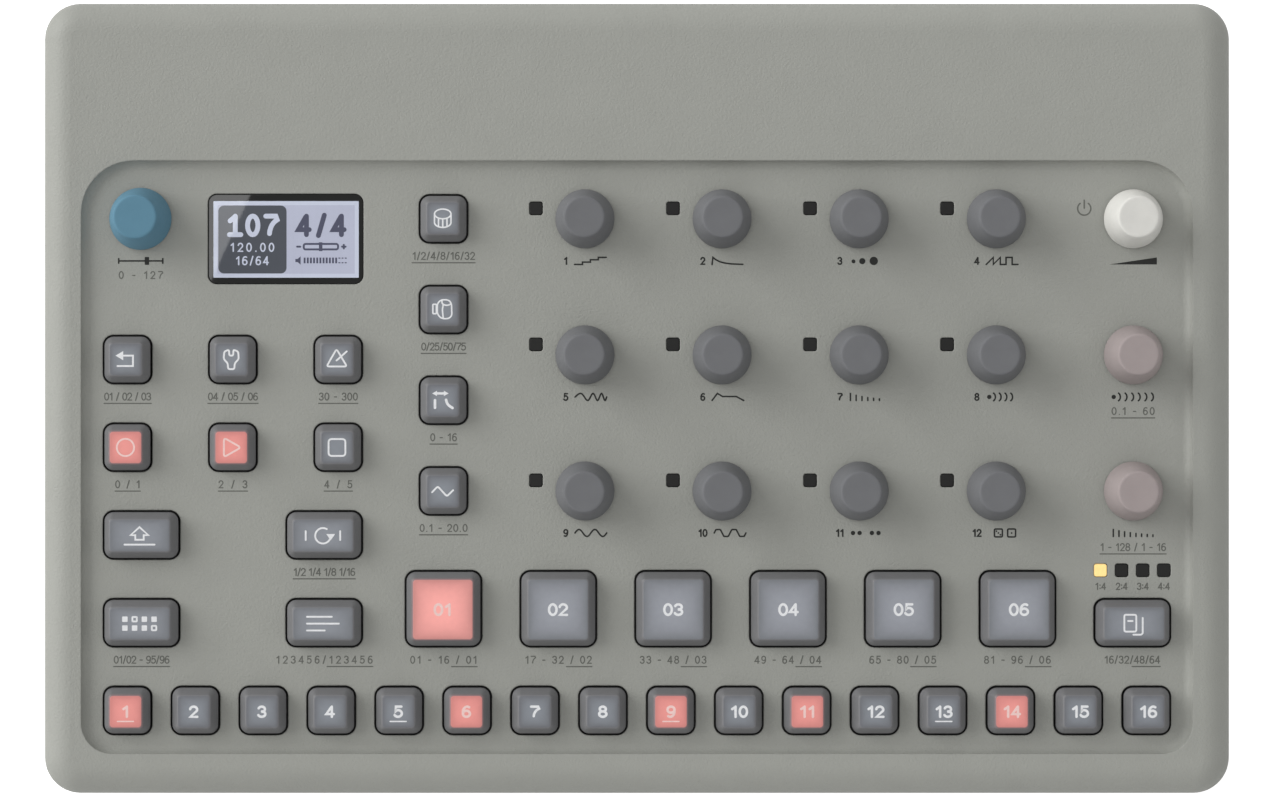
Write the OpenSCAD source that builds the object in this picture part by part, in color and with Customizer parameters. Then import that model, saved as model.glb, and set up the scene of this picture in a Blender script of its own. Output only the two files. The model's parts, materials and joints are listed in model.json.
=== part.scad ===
// Table-top drum machine: two-part housing, circuit boards, sockets, display, 16 knobs and 37 keys.
// X is to the right, Y to the rear and Z up. The origin is on the table under the middle of the body.

/* [Body] */
// Width of the body, left to right
body_w = 270; // [256:1:300]
// Depth of the body, front to rear
body_d = 180; // [170:1:200]
// Height of the top rim above the table
body_h = 29.2; // [28.6:0.1:36]
// Corner radius of the body in plan
corner_r = 8.2; // [7.5:0.1:14]
// Radius of the rounded top edge
edge_r = 6.5; // [3.5:0.1:7]
// Radius of the rounded bottom edge
bottom_r = 2.6; // [1:0.1:3.5]
// Thickness of the housing walls
wall = 2.3; // [1.8:0.1:2.6]
// Height of the bottom tray's side wall, from its underside to the seam
tray_h = 4.2; // [3.8:0.1:5]
// Height and depth of the groove round the seam
seam_groove = 0.4; // [0.2:0.1:0.6]
// How far the tray's locating lip reaches above the seam
lip_h = 2; // [1:0.1:3]
// Thickness of the locating lip
lip_t = 1.2; // [0.8:0.1:1.6]
// Side clearance of the locating lip
lip_gap = 0.15; // [0.05:0.05:0.4]

/* [Sunk panel] */
// Width of the rim left and right of the sunk panel
side_rim = 9; // [8.5:0.1:14]
// Width of the rim in front of the panel
front_rim = 9.4; // [9:0.1:14]
// Width of the rim behind the panel
rear_rim = 36.1; // [34:0.1:40]
// Depth of the panel below the rim
panel_drop = 2; // [1:0.1:2.4]
// Radius of the hollow curve where the panel meets its wall
panel_fillet = 2.1; // [1.5:0.1:4]
// Plan radius of the panel's rear corners
panel_rear_r = 12; // [8:0.5:16]
// Plan radius of the panel's front corners
panel_front_r = 7; // [5:0.5:12]
// Thickness of the panel
panel_t = 2.2; // [1.6:0.1:3]

/* [Panel layout] */
// Side edge of the panel to the holes of the outer keys
key_margin = 4.68; // [3.6:0.01:6]
// Front edge of the panel to the holes of the step keys
front_key_margin = 4.07; // [3.5:0.01:6]
// Side edge of the panel to the centre of the outer knobs
knob_side_margin = 13.3; // [10:0.1:16]
// Rear edge of the panel to the centre of the top knob row
knob_rear_margin = 13.15; // [10:0.1:16]
// Pitch of the four key columns at the left
column_pitch = 23.92; // [20:0.1:25]
// Icon key column to the first knob column
first_knob_gap = 32.1; // [28:0.1:36]
// Bottom knob row to the rear edge of the pad holes
knob_pad_gap = 17.92; // [14:0.01:20]
// Display to the centre of the upper cluster row
display_key_gap = 17.2; // [14:0.1:20]

/* [Keys] */
// Width of a small square key's hole
key_hole = 11.3; // [10:0.05:12.5]
// Width of a wide key's or a pad's hole
wide_hole = 17.65; // [15:0.05:20]
// Corner radius of the key holes
hole_r = 2.5; // [1.5:0.1:3.5]
// Clearance round a key in its hole
key_gap = 0.45; // [0.3:0.05:0.6]
// Height of the key tops above the panel
key_rise = 4.3; // [3:0.1:6]
// Height at which a key's side starts to slope in, above the panel
key_shoulder = 0.7; // [0:0.1:2]
// How far each side of a key slopes in
key_slope = 1.4; // [1:0.1:2]
// Bevel round a key's top face
key_bevel = 0.3; // [0.1:0.1:0.5]
// Travel of a key
key_travel = 1; // [0.5:0.1:1.5]
// How far a key's retaining flange reaches past its hole
flange_reach = 0.8; // [0.5:0.1:1]
// Thickness of a key's retaining flange
flange_t = 1; // [0.8:0.1:1.5]
// Diameter of a key's plunger
plunger_d = 3.2; // [2.5:0.1:4]

/* [Knobs] */
// Diameter of a knob at its base
knob_d = 13.5; // [12:0.1:15]
// Diameter of the flat top of a knob
knob_top_d = 9; // [8:0.1:10]
// Height of the knob tops above the panel
knob_rise = 11.8; // [10:0.1:14]
// Diameter of the data knob at its base
data_knob_d = 14.2; // [13:0.1:16]
// Diameter of the flat top of the data knob
data_knob_top_d = 9.5; // [9:0.1:11]
// Gap between a knob and the panel
knob_gap = 0.5; // [0.3:0.1:1]
// Wall thickness of a knob's skirt and hub
knob_wall = 1.4; // [1:0.1:1.5]
// Diameter of the encoder shafts
shaft_d = 6; // [5:0.1:6.4]
// Diameter of the encoder bushings
bushing_d = 7.6; // [7.4:0.1:8.4]
// Width of an encoder's case
encoder_w = 11.7; // [10:0.1:13]
// Height of an encoder's case
encoder_h = 6.5; // [5:0.1:7.5]

/* [Display] */
// Width of the display window
window_w = 35.2; // [30:0.1:38]
// Depth of the display window, front to rear
window_d = 20.4; // [18:0.1:22]
// Thickness of the display window
window_t = 1.4; // [1:0.1:1.6]
// Corner radius of the display window
window_r = 2; // [1:0.1:3]
// Width of the ledge that the window rests on
window_ledge = 1; // [0.6:0.1:1.5]
// How far the display module reaches past the window on each side
module_reach = 1.2; // [0.6:0.1:1.4]

/* [Indicator lights] */
// Width of a square light pipe
light_w = 2.9; // [2:0.1:3.2]
// Corner radius of a light pipe
light_r = 0.5; // [0.2:0.1:0.8]
// Knob centre to its light, to the left
light_left = 11.1; // [10.5:0.1:12]
// Knob centre to its light, to the rear
light_rear = 2.4; // [0:0.1:5]
// Pitch of the four page lights
page_light_pitch = 4.8; // [4:0.1:5.4]
// Page key centre to the page lights
page_light_gap = 11.9; // [10:0.1:14]

/* [Boards] */
// Thickness of the circuit boards
board_t = 1.6; // [1:0.1:2]
// Depth of the main board's top face below the panel's top face
board_drop = 12.2; // [11:0.1:12.8]
// Width of a key switch
switch_w = 6.2; // [5:0.1:7]
// Height of a key switch
switch_h = 4.6; // [3:0.1:5]
// Width of a board post
post_d = 5; // [4:0.1:5.5]
// Height of the jack board's underside above the tray's floor
standoff_h = 0.8; // [0.5:0.1:1.2]

/* [Sockets] */
// Height of the socket centres above the table
socket_z = 13.4; // [13:0.1:14]
// Bore of the large phone sockets (6.35 mm plugs)
jack_bore = 6.5; // [6.45:0.01:6.6]
// Depth of the large sockets' bore
jack_depth = 22; // [18:0.5:24]
// Bore of the small sockets (3.5 mm plugs)
mini_bore = 3.6; // [3.55:0.01:3.7]
// Depth of the small sockets' bore
mini_depth = 12; // [10:0.5:14]
// Bore of the DC inlet (5.5 mm plugs)
dc_bore = 5.7; // [5.6:0.05:6.4]
// Depth of the DC inlet's bore
dc_depth = 9; // [8:0.5:11]
// Wall of a socket's barrel
barrel_wall = 2; // [1.5:0.1:2.4]
// Width of the USB socket's mouth
usb_w = 8.9; // [8:0.1:9.5]
// Height of the USB socket's mouth
usb_h = 3.2; // [3:0.1:3.8]
// End of the body to the outermost sockets
socket_inset = 22; // [19:0.5:30]
// Pitch of the DC inlet, the power button and the USB socket
power_pitch = 11.5; // [11:0.1:13]
// Diameter of the power button
power_d = 7; // [5:0.1:7.4]
// Travel of the power button
power_travel = 1.5; // [1:0.1:2]
// Pitch of the large sockets
jack_pitch = 24; // [20:0.5:28]
// Pitch of the small sockets
mini_pitch = 14; // [12:0.5:16]
// USB socket to the nearest small socket
group_step = 21; // [18:0.5:24]

/* [Feet and screws] */
// Diameter of a rubber foot
foot_d = 12; // [9:0.5:13]
// Height of the body's underside above the table
foot_h = 2.2; // [1.6:0.1:3]
// How deep a foot sits in the tray
foot_seat = 0.8; // [0.4:0.1:1]
// Distance of the feet from the body's sides
foot_inset = 19; // [17.5:0.5:30]
// Distance of the corner screws from the body's sides
screw_inset = 7.5; // [7:0.1:8]
// Shank diameter of a housing screw
screw_d = 3; // [2.5:0.1:3.5]
// Head diameter of a housing screw
screw_head_d = 5.6; // [5:0.1:6]
// Head height of a housing screw
screw_head_h = 2; // [1.5:0.1:2.2]
// Length of a housing screw under its head
screw_len = 9; // [8:0.5:12]

/* [Hidden] */
$fn = 48;
eps = 0.01;            // overlap of joined shapes
over = 1;              // how far a cut reaches past the face that it opens
fit = 0.1;             // radial clearance of pieces that stay put in their holes
running = 0.05;        // radial clearance of turning and sliding shafts
seat = 0.3;            // clearance between faces that don't touch
solder = 0.1;          // height of a soldered piece above its board
case_floor = 0.4;      // floor of an encoder's case and of a key switch
knob_roof = 1.8;       // wall of a knob over its shaft
knob_bevel = 0.3;      // bevels at a knob's foot and top
knob_hollow = 0.3;     // share of a knob's height that is hollow
key_side_n = 4;        // icon keys in the column beside the display
cluster_cols = 3;
cluster_rows = 2;
pad_n = 6;
step_n = 16;
grid_cols = 4;
grid_rows = 3;
page_light_n = 4;

// Heights
panel_z = body_h - panel_drop;
panel_under = panel_z - panel_t;
seam_z = foot_h + tray_h;
floor_z = foot_h + wall;
board_top = panel_z - board_drop;
board_under = board_top - board_t;
jack_board_z = floor_z + standoff_h;
jack_board_top = jack_board_z + board_t;
key_top_z = panel_z + key_rise;
knob_top_z = panel_z + knob_rise;

// Sunk panel
panel_x = body_w / 2 - side_rim;
panel_front = front_rim - body_d / 2;
panel_rear = body_d / 2 - rear_rim;

// Key columns and rows, from the panel's edges inwards
first_key_x = -panel_x + key_margin + key_hole / 2;
step_pitch = -2 * first_key_x / (step_n - 1);
side_key_x = first_key_x + cluster_cols * column_pitch;
page_x = panel_x - key_margin - wide_hole / 2;
wide_left_x = -panel_x + key_margin + wide_hole / 2;
wide_right_x = first_key_x + (cluster_cols - 1) * column_pitch + key_hole / 2 - wide_hole / 2;
pad_pitch = (page_x - side_key_x) / pad_n;
step_y = panel_front + front_key_margin + key_hole / 2;
top_row_y = panel_rear - knob_rear_margin;
window_x = wide_right_x + wide_hole / 2 - window_w / 2;
window_y = top_row_y + key_hole / 2 - window_d / 2;
cluster_top_y = window_y - window_d / 2 - display_key_gap;
left_row_n = 5;        // step row, two wide rows and two cluster rows
left_row_pitch = (cluster_top_y - step_y) / (left_row_n - 1);
function left_row_y(i) = step_y + i * left_row_pitch;
pad_y = left_row_y(1) - key_hole / 2 + wide_hole / 2;
bottom_row_y = pad_y + wide_hole / 2 + knob_pad_gap;
knob_row_pitch = (top_row_y - bottom_row_y) / (grid_rows - 1);
side_key_pitch = (top_row_y - bottom_row_y) / (key_side_n - 1);
right_knob_x = panel_x - knob_side_margin;
grid_x0 = side_key_x + first_knob_gap;
knob_col_pitch = (right_knob_x - grid_x0) / grid_cols;

// Places of the keys and knobs, each [x, y]
function grid_xy(i) = [
    grid_x0 + (i % grid_cols) * knob_col_pitch,
    top_row_y - floor(i / grid_cols) * knob_row_pitch
];
function side_key_xy(i) = [side_key_x, top_row_y - i * side_key_pitch];
function cluster_xy(i) = [
    first_key_x + (i % cluster_cols) * column_pitch,
    left_row_y(left_row_n - 1 - floor(i / cluster_cols))
];
function pad_xy(i) = [side_key_x + i * pad_pitch, pad_y];
function step_xy(i) = [first_key_x + i * step_pitch, step_y];
function right_knob_xy(i) = [right_knob_x, top_row_y - i * knob_row_pitch];
data_knob_xy = [-right_knob_x, top_row_y];
wide_xys = [
    [wide_left_x, left_row_y(2)],
    [wide_right_x, left_row_y(2)],
    [wide_left_x, left_row_y(1)],
    [wide_right_x, left_row_y(1)],
    [page_x, left_row_y(1)]
];
grid_n = grid_cols * grid_rows;
cluster_n = cluster_cols * cluster_rows;
grid_xys = [for (i = [0:grid_n - 1]) grid_xy(i)];
right_xys = [for (i = [0:grid_rows - 1]) right_knob_xy(i)];
knob_xys = concat([data_knob_xy], grid_xys, right_xys);
small_xys = concat(
    [for (i = [0:key_side_n - 1]) side_key_xy(i)],
    [for (i = [0:cluster_n - 1]) cluster_xy(i)],
    [for (i = [0:step_n - 1]) step_xy(i)]
);
pad_xys = [for (i = [0:pad_n - 1]) pad_xy(i)];
key_xys = concat(small_xys, wide_xys, pad_xys);
grid_light_xys = [for (p = grid_xys) p + [-light_left, light_rear]];
page_light_xys = [
    for (i = [0:page_light_n - 1])
        [page_x + (i - (page_light_n - 1) / 2) * page_light_pitch, left_row_y(1) + page_light_gap]
];
light_xys = concat(grid_light_xys, page_light_xys);

// Boards, which end beside the corner screws' bosses
boss_d = 6.4;          // screw boss of the top housing
tray_boss_d = 9;       // screw boss of the tray
screw_x = body_w / 2 - screw_inset;
screw_y = body_d / 2 - screw_inset;
board_gap = 2;         // board edge to the nearest wall or boss
board_edge = 3;        // board past the outermost switches
board_overlap = 6;     // jack board under the main board
main_x = screw_x - tray_boss_d / 2 - board_gap;
main_front = step_y - switch_w / 2 - board_edge;
main_rear = panel_rear - board_gap;
jack_front = main_rear - board_overlap;
jack_rear = body_d / 2 - wall - board_gap;
link_x = 40;           // board-to-board connector
link_w = 40;
link_d = 4;
chip_h = 1.4;
chips = [[-20, 6, 14], [20, 6, 14], [52, 0, 10], [-58, -24, 12]];  // [x, y, width] of the main chips
standoff_x = 60;       // posts under the jack board
standoff_in = 7;
standoff_xys = [
    for (x = [-standoff_x, standoff_x], y = [jack_front + standoff_in, jack_rear - standoff_in])
        [x, y]
];

// Sockets: x, bore diameter and bore depth of each round socket, from the right end to the left
dc_x = body_w / 2 - socket_inset;
power_x = dc_x - power_pitch;
usb_x = power_x - power_pitch;
mini_x = usb_x - group_step;
phones_x = -dc_x;
jack_x = phones_x + jack_pitch;
mini_n = 4;
jack_n = 2;
mini_sockets = [for (i = [0:mini_n - 1]) [mini_x - i * mini_pitch, mini_bore, mini_depth]];
jack_sockets = [for (i = [0:jack_n - 1]) [jack_x + i * jack_pitch, jack_bore, jack_depth]];
round_sockets = concat([[dc_x, dc_bore, dc_depth]], mini_sockets, jack_sockets,
    [[phones_x, mini_bore, mini_depth]]);
face_sink = 0.3;       // barrel end below the rear face
socket_back = 1.6;     // closed end behind a bore
socket_wall = 0.7;     // a socket's case past its barrel, on each side
usb_depth = 7;
usb_wall = 0.8;
usb_r = usb_h / 2 - fit;

// Power button, from the rear inwards: face in the wall, flange behind it and plunger into its switch
power_flange_y = body_d / 2 - wall - seat;
power_plunger_y = power_flange_y - flange_t;
power_switch_y = power_plunger_y - power_travel - seat;
power_tip = 2;         // plunger inside its switch, at rest
power_switch_w = 8;
power_switch_d = 7;

// Screws and feet
rear_screw_y = main_rear + board_gap + boss_d / 2;
front_screw_y = main_front - board_gap - boss_d / 2;
screw_xys = [
    [-screw_x, -screw_y], [screw_x, -screw_y], [-screw_x, screw_y], [screw_x, screw_y],
    [0, front_screw_y], [0, rear_screw_y]
];
boss_drop = 0.4;       // where the two bosses meet, below the seam
boss_z = seam_z - boss_drop;
head_sink = 0.4;       // screw head below the tray's underside
head_gap = 0.4;        // clearance round a screw's head
shank_z = foot_h + head_sink + screw_head_h;
screw_slot_w = 0.9;
foot_x = body_w / 2 - foot_inset;
foot_y = body_d / 2 - foot_inset;
foot_xys = [[-foot_x, -foot_y], [foot_x, -foot_y], [-foot_x, foot_y], [foot_x, foot_y]];

// Posts from the panel's underside to the main board, clear of keys, knobs and lights
post_xys = [
    [wide_left_x, (cluster_top_y + top_row_y) / 2],
    [side_key_x - column_pitch / 2, (left_row_y(3) + left_row_y(4)) / 2],
    [(wide_left_x + wide_right_x) / 2, (left_row_y(0) + left_row_y(1)) / 2],
    [grid_x0 + knob_col_pitch / 2, top_row_y - knob_row_pitch / 2],
    [right_knob_x - knob_col_pitch / 2, top_row_y - knob_row_pitch / 2],
    [side_key_x + pad_pitch / 2, bottom_row_y],
    [side_key_x + pad_pitch * (pad_n - 0.5), bottom_row_y]
];

KNOB_NODES = concat(["data_knob"], [for (i = [1:grid_n]) str("param_knob_", i)],
    ["main_volume_knob", "effect_knob_1", "effect_knob_2"]);
SMALL_KEY_NODES = concat([for (i = [1:key_side_n]) str("menu_key_", i)],
    ["back_key", "tools_key", "tempo_key", "record_key", "play_key", "stop_key"],
    [for (i = [1:step_n]) str("step_key_", i)]);
WIDE_KEY_NODES = ["function_key", "retrigger_key", "pattern_key", "track_key", "page_key"];
PAD_NODES = [for (i = [1:pad_n]) str("pad_", i)];

// ---- shared shapes ----

// Rectangle with rounded corners, centred
module rounded_rect(w, d, r) {
    square([w - 2 * r, d], center = true);
    square([w, d - 2 * r], center = true);
    for (x = [-1, 1], y = [-1, 1])
        translate([x * (w / 2 - r), y * (d / 2 - r)])
            circle(r);
}

// Section from a corner's centre outwards: a column of radius r and height h, its top edge rounded by e
module edge_section(r, e, h) {
    square([r, h - e]);
    square([r - e, h]);
    intersection() {
        translate([r - e, h - e])
            circle(e);
        translate([r - e, h - e])
            square(e);
    }
}

// Slab on z = 0 with a rounded top edge. front and rear are the corner radii
module rounded_slab(x, front_y, rear_y, front_r, rear_r, e, h) {
    big = max(front_r, rear_r);
    for (s = [0, 1])
        mirror([s, 0, 0]) {
            translate([x - front_r, front_y + front_r, 0])
                rotate([0, 0, -90])
                    rotate_extrude(angle = 90)
                        edge_section(front_r, e, h);
            translate([x - rear_r, rear_y - rear_r, 0])
                rotate_extrude(angle = 90)
                    edge_section(rear_r, e, h);
            translate([x - big, rear_y - rear_r, 0])
                rotate([90, 0, 0])
                    linear_extrude(rear_y - rear_r - front_y - front_r)
                        edge_section(big, e, h);
        }
    translate([0, front_y + front_r, 0])
        rotate([90, 0, -90])
            linear_extrude(2 * (x - front_r), center = true)
                edge_section(front_r, e, h);
    translate([0, rear_y - rear_r, 0])
        rotate([90, 0, 90])
            linear_extrude(2 * (x - rear_r), center = true)
                edge_section(rear_r, e, h);
    translate([-(x - big), front_y + front_r, 0])
        cube([2 * (x - big), rear_y - rear_r - front_y - front_r, h]);
}

// Straight prism of the body's plan, drawn in by inset
module body_prism(inset, z0, z1) {
    translate([0, 0, z0])
        linear_extrude(z1 - z0)
            rounded_rect(body_w - 2 * inset, body_d - 2 * inset, corner_r - inset);
}

module at_each(places) {
    for (p = places)
        translate([p[0], p[1], 0])
            children();
}

// ---- housings ----

// Block under the sunk panel, as thick round its sides as under it
module panel_block() {
    reach = panel_t;
    w = 2 * (panel_x + reach);
    front = panel_front - reach;
    rear = panel_rear + reach;
    translate([0, (front + rear) / 2, panel_under])
        linear_extrude(body_h - wall / 2 - panel_under)
            rounded_rect(w, rear - front, panel_front_r + reach);
}

// The sunk panel's space, with its hollow lower edge. It flares out above the rim
module panel_space() {
    r = panel_fillet;
    rise = max(0, r - panel_drop);
    flare = r - sqrt(r * r - rise * rise);
    h = max(r, panel_drop) + over;
    translate([0, 0, panel_z + h])
        mirror([0, 0, 1])
            rounded_slab(panel_x + flare, panel_front - flare, panel_rear + flare,
                panel_front_r + flare, panel_rear_r + flare, r, h);
}

module panel_holes() {
    translate([0, 0, panel_under - over])
        linear_extrude(panel_t + 2 * over) {
            at_each(small_xys)
                rounded_rect(key_hole, key_hole, hole_r);
            at_each(wide_xys)
                rounded_rect(wide_hole, key_hole, hole_r);
            at_each(pad_xys)
                rounded_rect(wide_hole, wide_hole, hole_r);
            at_each(light_xys)
                rounded_rect(light_w + 2 * fit, light_w + 2 * fit, light_r + fit);
            translate([window_x, window_y])
                rounded_rect(window_w - 2 * window_ledge, window_d - 2 * window_ledge, window_r);
        }
    translate([window_x, window_y, panel_z - window_t])
        linear_extrude(window_t + over)
            rounded_rect(window_w + 2 * fit, window_d + 2 * fit, window_r + fit);
    translate([0, 0, panel_under - over])
        at_each(knob_xys)
            cylinder(d = bushing_d + 4 * fit, h = panel_t + 2 * over);
}

module socket_holes() {
    for (s = round_sockets)
        translate([s[0], body_d / 2 + over, socket_z])
            rotate([90, 0, 0])
                cylinder(d = s[1] + 2 * barrel_wall + 2 * fit, h = wall + 2 * over);
    translate([usb_x, body_d / 2 + over, socket_z])
        rotate([90, 0, 0])
            linear_extrude(wall + 2 * over)
                rounded_rect(usb_w + 2 * usb_wall + 2 * fit, usb_h + 2 * usb_wall + 2 * fit, usb_h / 2);
    translate([power_x, body_d / 2 + over, socket_z])
        rotate([90, 0, 0])
            cylinder(d = power_d + 2 * seat, h = wall + 2 * over);
}

module top_housing() {
    hole_z = boss_z - over;
    color("#9a9b94")
        difference() {
            union() {
                difference() {
                    translate([0, 0, seam_z])
                        rounded_slab(body_w / 2, -body_d / 2, body_d / 2, corner_r, corner_r,
                            edge_r, body_h - seam_z);
                    translate([0, 0, seam_z - over])
                        rounded_slab(body_w / 2 - wall, wall - body_d / 2, body_d / 2 - wall,
                            corner_r - wall, corner_r - wall, edge_r - wall, body_h - wall - seam_z + over);
                }
                panel_block();
                translate([0, 0, board_top])
                    at_each(post_xys)
                        cylinder(d = post_d, h = panel_under - board_top + eps);
                translate([0, 0, boss_z])
                    at_each(screw_xys)
                        cylinder(d = boss_d, h = body_h - wall / 2 - boss_z);
            }
            panel_space();
            panel_holes();
            socket_holes();
            translate([0, 0, hole_z])
                at_each(screw_xys)
                    cylinder(d = screw_d + 2 * fit, h = shank_z + screw_len + seat - hole_z);
        }
}

module bottom_housing() {
    lip_out = wall + lip_gap;
    color("#8e8f89")
        difference() {
            union() {
                difference() {
                    translate([0, 0, seam_z])
                        mirror([0, 0, 1])
                            rounded_slab(body_w / 2, -body_d / 2, body_d / 2, corner_r, corner_r,
                                bottom_r, tray_h);
                    body_prism(wall, floor_z, seam_z + over);
                }
                difference() {
                    body_prism(lip_out, floor_z - eps, seam_z + lip_h);
                    body_prism(lip_out + lip_t, floor_z - over, seam_z + lip_h + over);
                    translate([-body_w, jack_front - board_gap, floor_z])
                        cube([2 * body_w, body_d, tray_h + lip_h + over]);
                }
                translate([0, 0, floor_z - eps]) {
                    at_each(screw_xys)
                        cylinder(d = tray_boss_d, h = boss_z - floor_z + eps);
                    at_each(standoff_xys)
                        cylinder(d = post_d, h = standoff_h + eps);
                }
            }
            difference() {
                body_prism(-over, seam_z - seam_groove, seam_z + over);
                body_prism(seam_groove, seam_z - seam_groove - over, seam_z + 2 * over);
            }
            at_each(screw_xys) {
                cylinder(d = screw_d + 4 * fit, h = boss_z + over);
                cylinder(d = screw_head_d + 2 * head_gap, h = shank_z);
            }
            at_each(foot_xys)
                cylinder(d = foot_d + 4 * fit, h = foot_h + foot_seat);
        }
}

// ---- boards and what is soldered to them ----

module encoder() {
    body_top = board_top + encoder_h;
    difference() {
        union() {
            translate([-encoder_w / 2, -encoder_w / 2, board_top + solder])
                cube([encoder_w, encoder_w, encoder_h - solder]);
            translate([0, 0, body_top - eps])
                cylinder(d = bushing_d, h = panel_z - seat - body_top + eps);
        }
        translate([0, 0, board_top + case_floor])
            cylinder(d = shaft_d + 2 * running, h = panel_z);
    }
}

module key_switch() {
    difference() {
        translate([-switch_w / 2, -switch_w / 2, board_top + solder])
            cube([switch_w, switch_w, switch_h - solder]);
        translate([0, 0, board_top + case_floor])
            cylinder(d = plunger_d + 4 * running, h = switch_h);
    }
}

// Case on the jack board, bored from the rear for the power button's plunger
module power_switch() {
    depth = power_tip + power_travel + seat;
    difference() {
        translate([power_x - power_switch_w / 2, power_switch_y - power_switch_d, jack_board_top + solder])
            cube([power_switch_w, power_switch_d, socket_z + power_switch_w / 2 - jack_board_top - solder]);
        translate([power_x, power_switch_y + over, socket_z])
            rotate([90, 0, 0])
                cylinder(d = plunger_d + 4 * running, h = depth + over);
    }
}

// Glass in its frame, on a block that stands on the board
module display_module() {
    w = window_w + 2 * module_reach;
    d = window_d + 2 * module_reach;
    glass_t = 2.6;
    block_inset = 1.5;
    glass_z = panel_under - seat - glass_t;
    block_z = board_top + solder;
    translate([window_x, window_y, (block_z + glass_z) / 2])
        cube([w - 2 * block_inset, d - 2 * block_inset, glass_z - block_z], center = true);
    translate([window_x, window_y, glass_z + glass_t / 2])
        cube([w, d, glass_t], center = true);
}

module boards() {
    translate([-main_x, main_front, board_under])
        cube([2 * main_x, main_rear - main_front, board_t]);
    difference() {
        translate([-main_x, jack_front, jack_board_z])
            cube([2 * main_x, jack_rear - jack_front, board_t]);
        translate([0, rear_screw_y, 0])
            cylinder(d = tray_boss_d + board_gap, h = body_h);
    }
}

module circuit_board() {
    color("#2f6b46")
        boards();
    color("#3a3a3a") {
        at_each(knob_xys)
            encoder();
        at_each(key_xys)
            key_switch();
        display_module();
        power_switch();
        translate([link_x, (jack_front + main_rear) / 2, (jack_board_top + board_under) / 2])
            cube([link_w, link_d, board_under - jack_board_top - 2 * solder], center = true);
        for (c = chips)
            translate([c[0], c[1], board_under - solder - chip_h / 2])
                cube([c[2], c[2], chip_h], center = true);
        translate([0, 0, board_top + solder])
            at_each(light_xys)
                linear_extrude(panel_z - board_top - solder)
                    rounded_rect(light_w, light_w, light_r);
    }
}

// Round socket: a case on the jack board and a barrel through the rear wall, bored from outside
module round_socket(bore, depth) {
    case_w = bore + 2 * barrel_wall + 2 * socket_wall;
    case_top = socket_z + case_w / 2;
    inner_y = body_d / 2 - wall - seat;
    end_y = body_d / 2 - face_sink - depth - socket_back;
    difference() {
        union() {
            translate([-case_w / 2, end_y, jack_board_top])
                cube([case_w, inner_y - end_y, case_top - jack_board_top]);
            translate([0, body_d / 2 - face_sink, socket_z])
                rotate([90, 0, 0])
                    cylinder(d = bore + 2 * barrel_wall, h = wall + over);
        }
        translate([0, body_d / 2 - face_sink + eps, socket_z])
            rotate([90, 0, 0])
                cylinder(d = bore, h = depth + eps);
    }
}

// USB socket: a flat shell, on a block that stands on the jack board
module usb_socket() {
    shell_w = usb_w + 2 * usb_wall;
    shell_h = usb_h + 2 * usb_wall;
    block_w = shell_w - usb_h;
    length = usb_depth + socket_back;
    inner_y = body_d / 2 - wall - seat;
    end_y = body_d / 2 - face_sink - length;
    block_top = socket_z - (usb_h + usb_wall) / 2;
    translate([0, body_d / 2 - face_sink, socket_z])
        rotate([90, 0, 0])
            difference() {
                linear_extrude(length)
                    rounded_rect(shell_w, shell_h, usb_h / 2);
                translate([0, 0, -eps])
                    linear_extrude(usb_depth)
                        rounded_rect(usb_w, usb_h, usb_r);
            }
    translate([-block_w / 2, end_y, jack_board_top])
        cube([block_w, inner_y - end_y, block_top - jack_board_top]);
}

module rear_sockets() {
    color("#232323") {
        for (s = round_sockets)
            translate([s[0], 0, 0])
                round_socket(s[1], s[2]);
        translate([usb_x, 0, 0])
            usb_socket();
    }
}

// ---- display, feet and screws ----

module display_window() {
    color("#c9cbdf")
        translate([window_x, window_y, panel_z - window_t])
            linear_extrude(window_t)
                rounded_rect(window_w, window_d, window_r);
}

module foot() {
    top = foot_h + foot_seat;
    bevel = 0.8;
    rotate_extrude()
        polygon([[0, 0], [foot_d / 2 - bevel, 0], [foot_d / 2, bevel], [foot_d / 2, top], [0, top]]);
}

module housing_screw() {
    head_z = foot_h + head_sink;
    difference() {
        union() {
            translate([0, 0, head_z])
                cylinder(d = screw_head_d, h = screw_head_h);
            translate([0, 0, shank_z - eps])
                cylinder(d = screw_d, h = screw_len + eps);
        }
        for (a = [0, 90])
            rotate([0, 0, a])
                translate([-screw_head_d / 3, -screw_slot_w / 2, head_z - eps])
                    cube([screw_head_d * 2 / 3, screw_slot_w, screw_head_h / 2]);
    }
}

module feet_and_screws() {
    color("#1d1d1d")
        at_each(foot_xys)
            foot();
    color("#b5b7ba")
        at_each(screw_xys)
            housing_screw();
}

// ---- knobs ----

// Knob cap on its shaft's axis: a tapered side and a flat top, hollow underneath
module knob_cap(base_d, top_d) {
    low = panel_z + knob_gap;
    h = knob_top_z - low;
    r = base_d / 2;
    top_r = top_d / 2;
    hub_r = shaft_d / 2 + knob_wall;
    translate([0, 0, low])
        rotate_extrude()
            difference() {
                polygon([
                    [0, 0], [r - knob_bevel, 0], [r, knob_bevel],
                    [top_r + knob_bevel, h - knob_bevel], [top_r, h], [0, h]
                ]);
                translate([-eps, -eps])
                    square([shaft_d / 2 + running + eps, h - knob_roof + eps]);
                translate([hub_r, -eps])
                    square([r - knob_wall - hub_r, knob_hollow * h]);
            }
}

// Encoder shaft, from inside the case up into the knob
module encoder_shaft() {
    bottom = board_top + case_floor + seat;
    top = knob_top_z - knob_roof - seat;
    translate([0, 0, bottom])
        cylinder(d = shaft_d, h = top - bottom);
}

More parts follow.
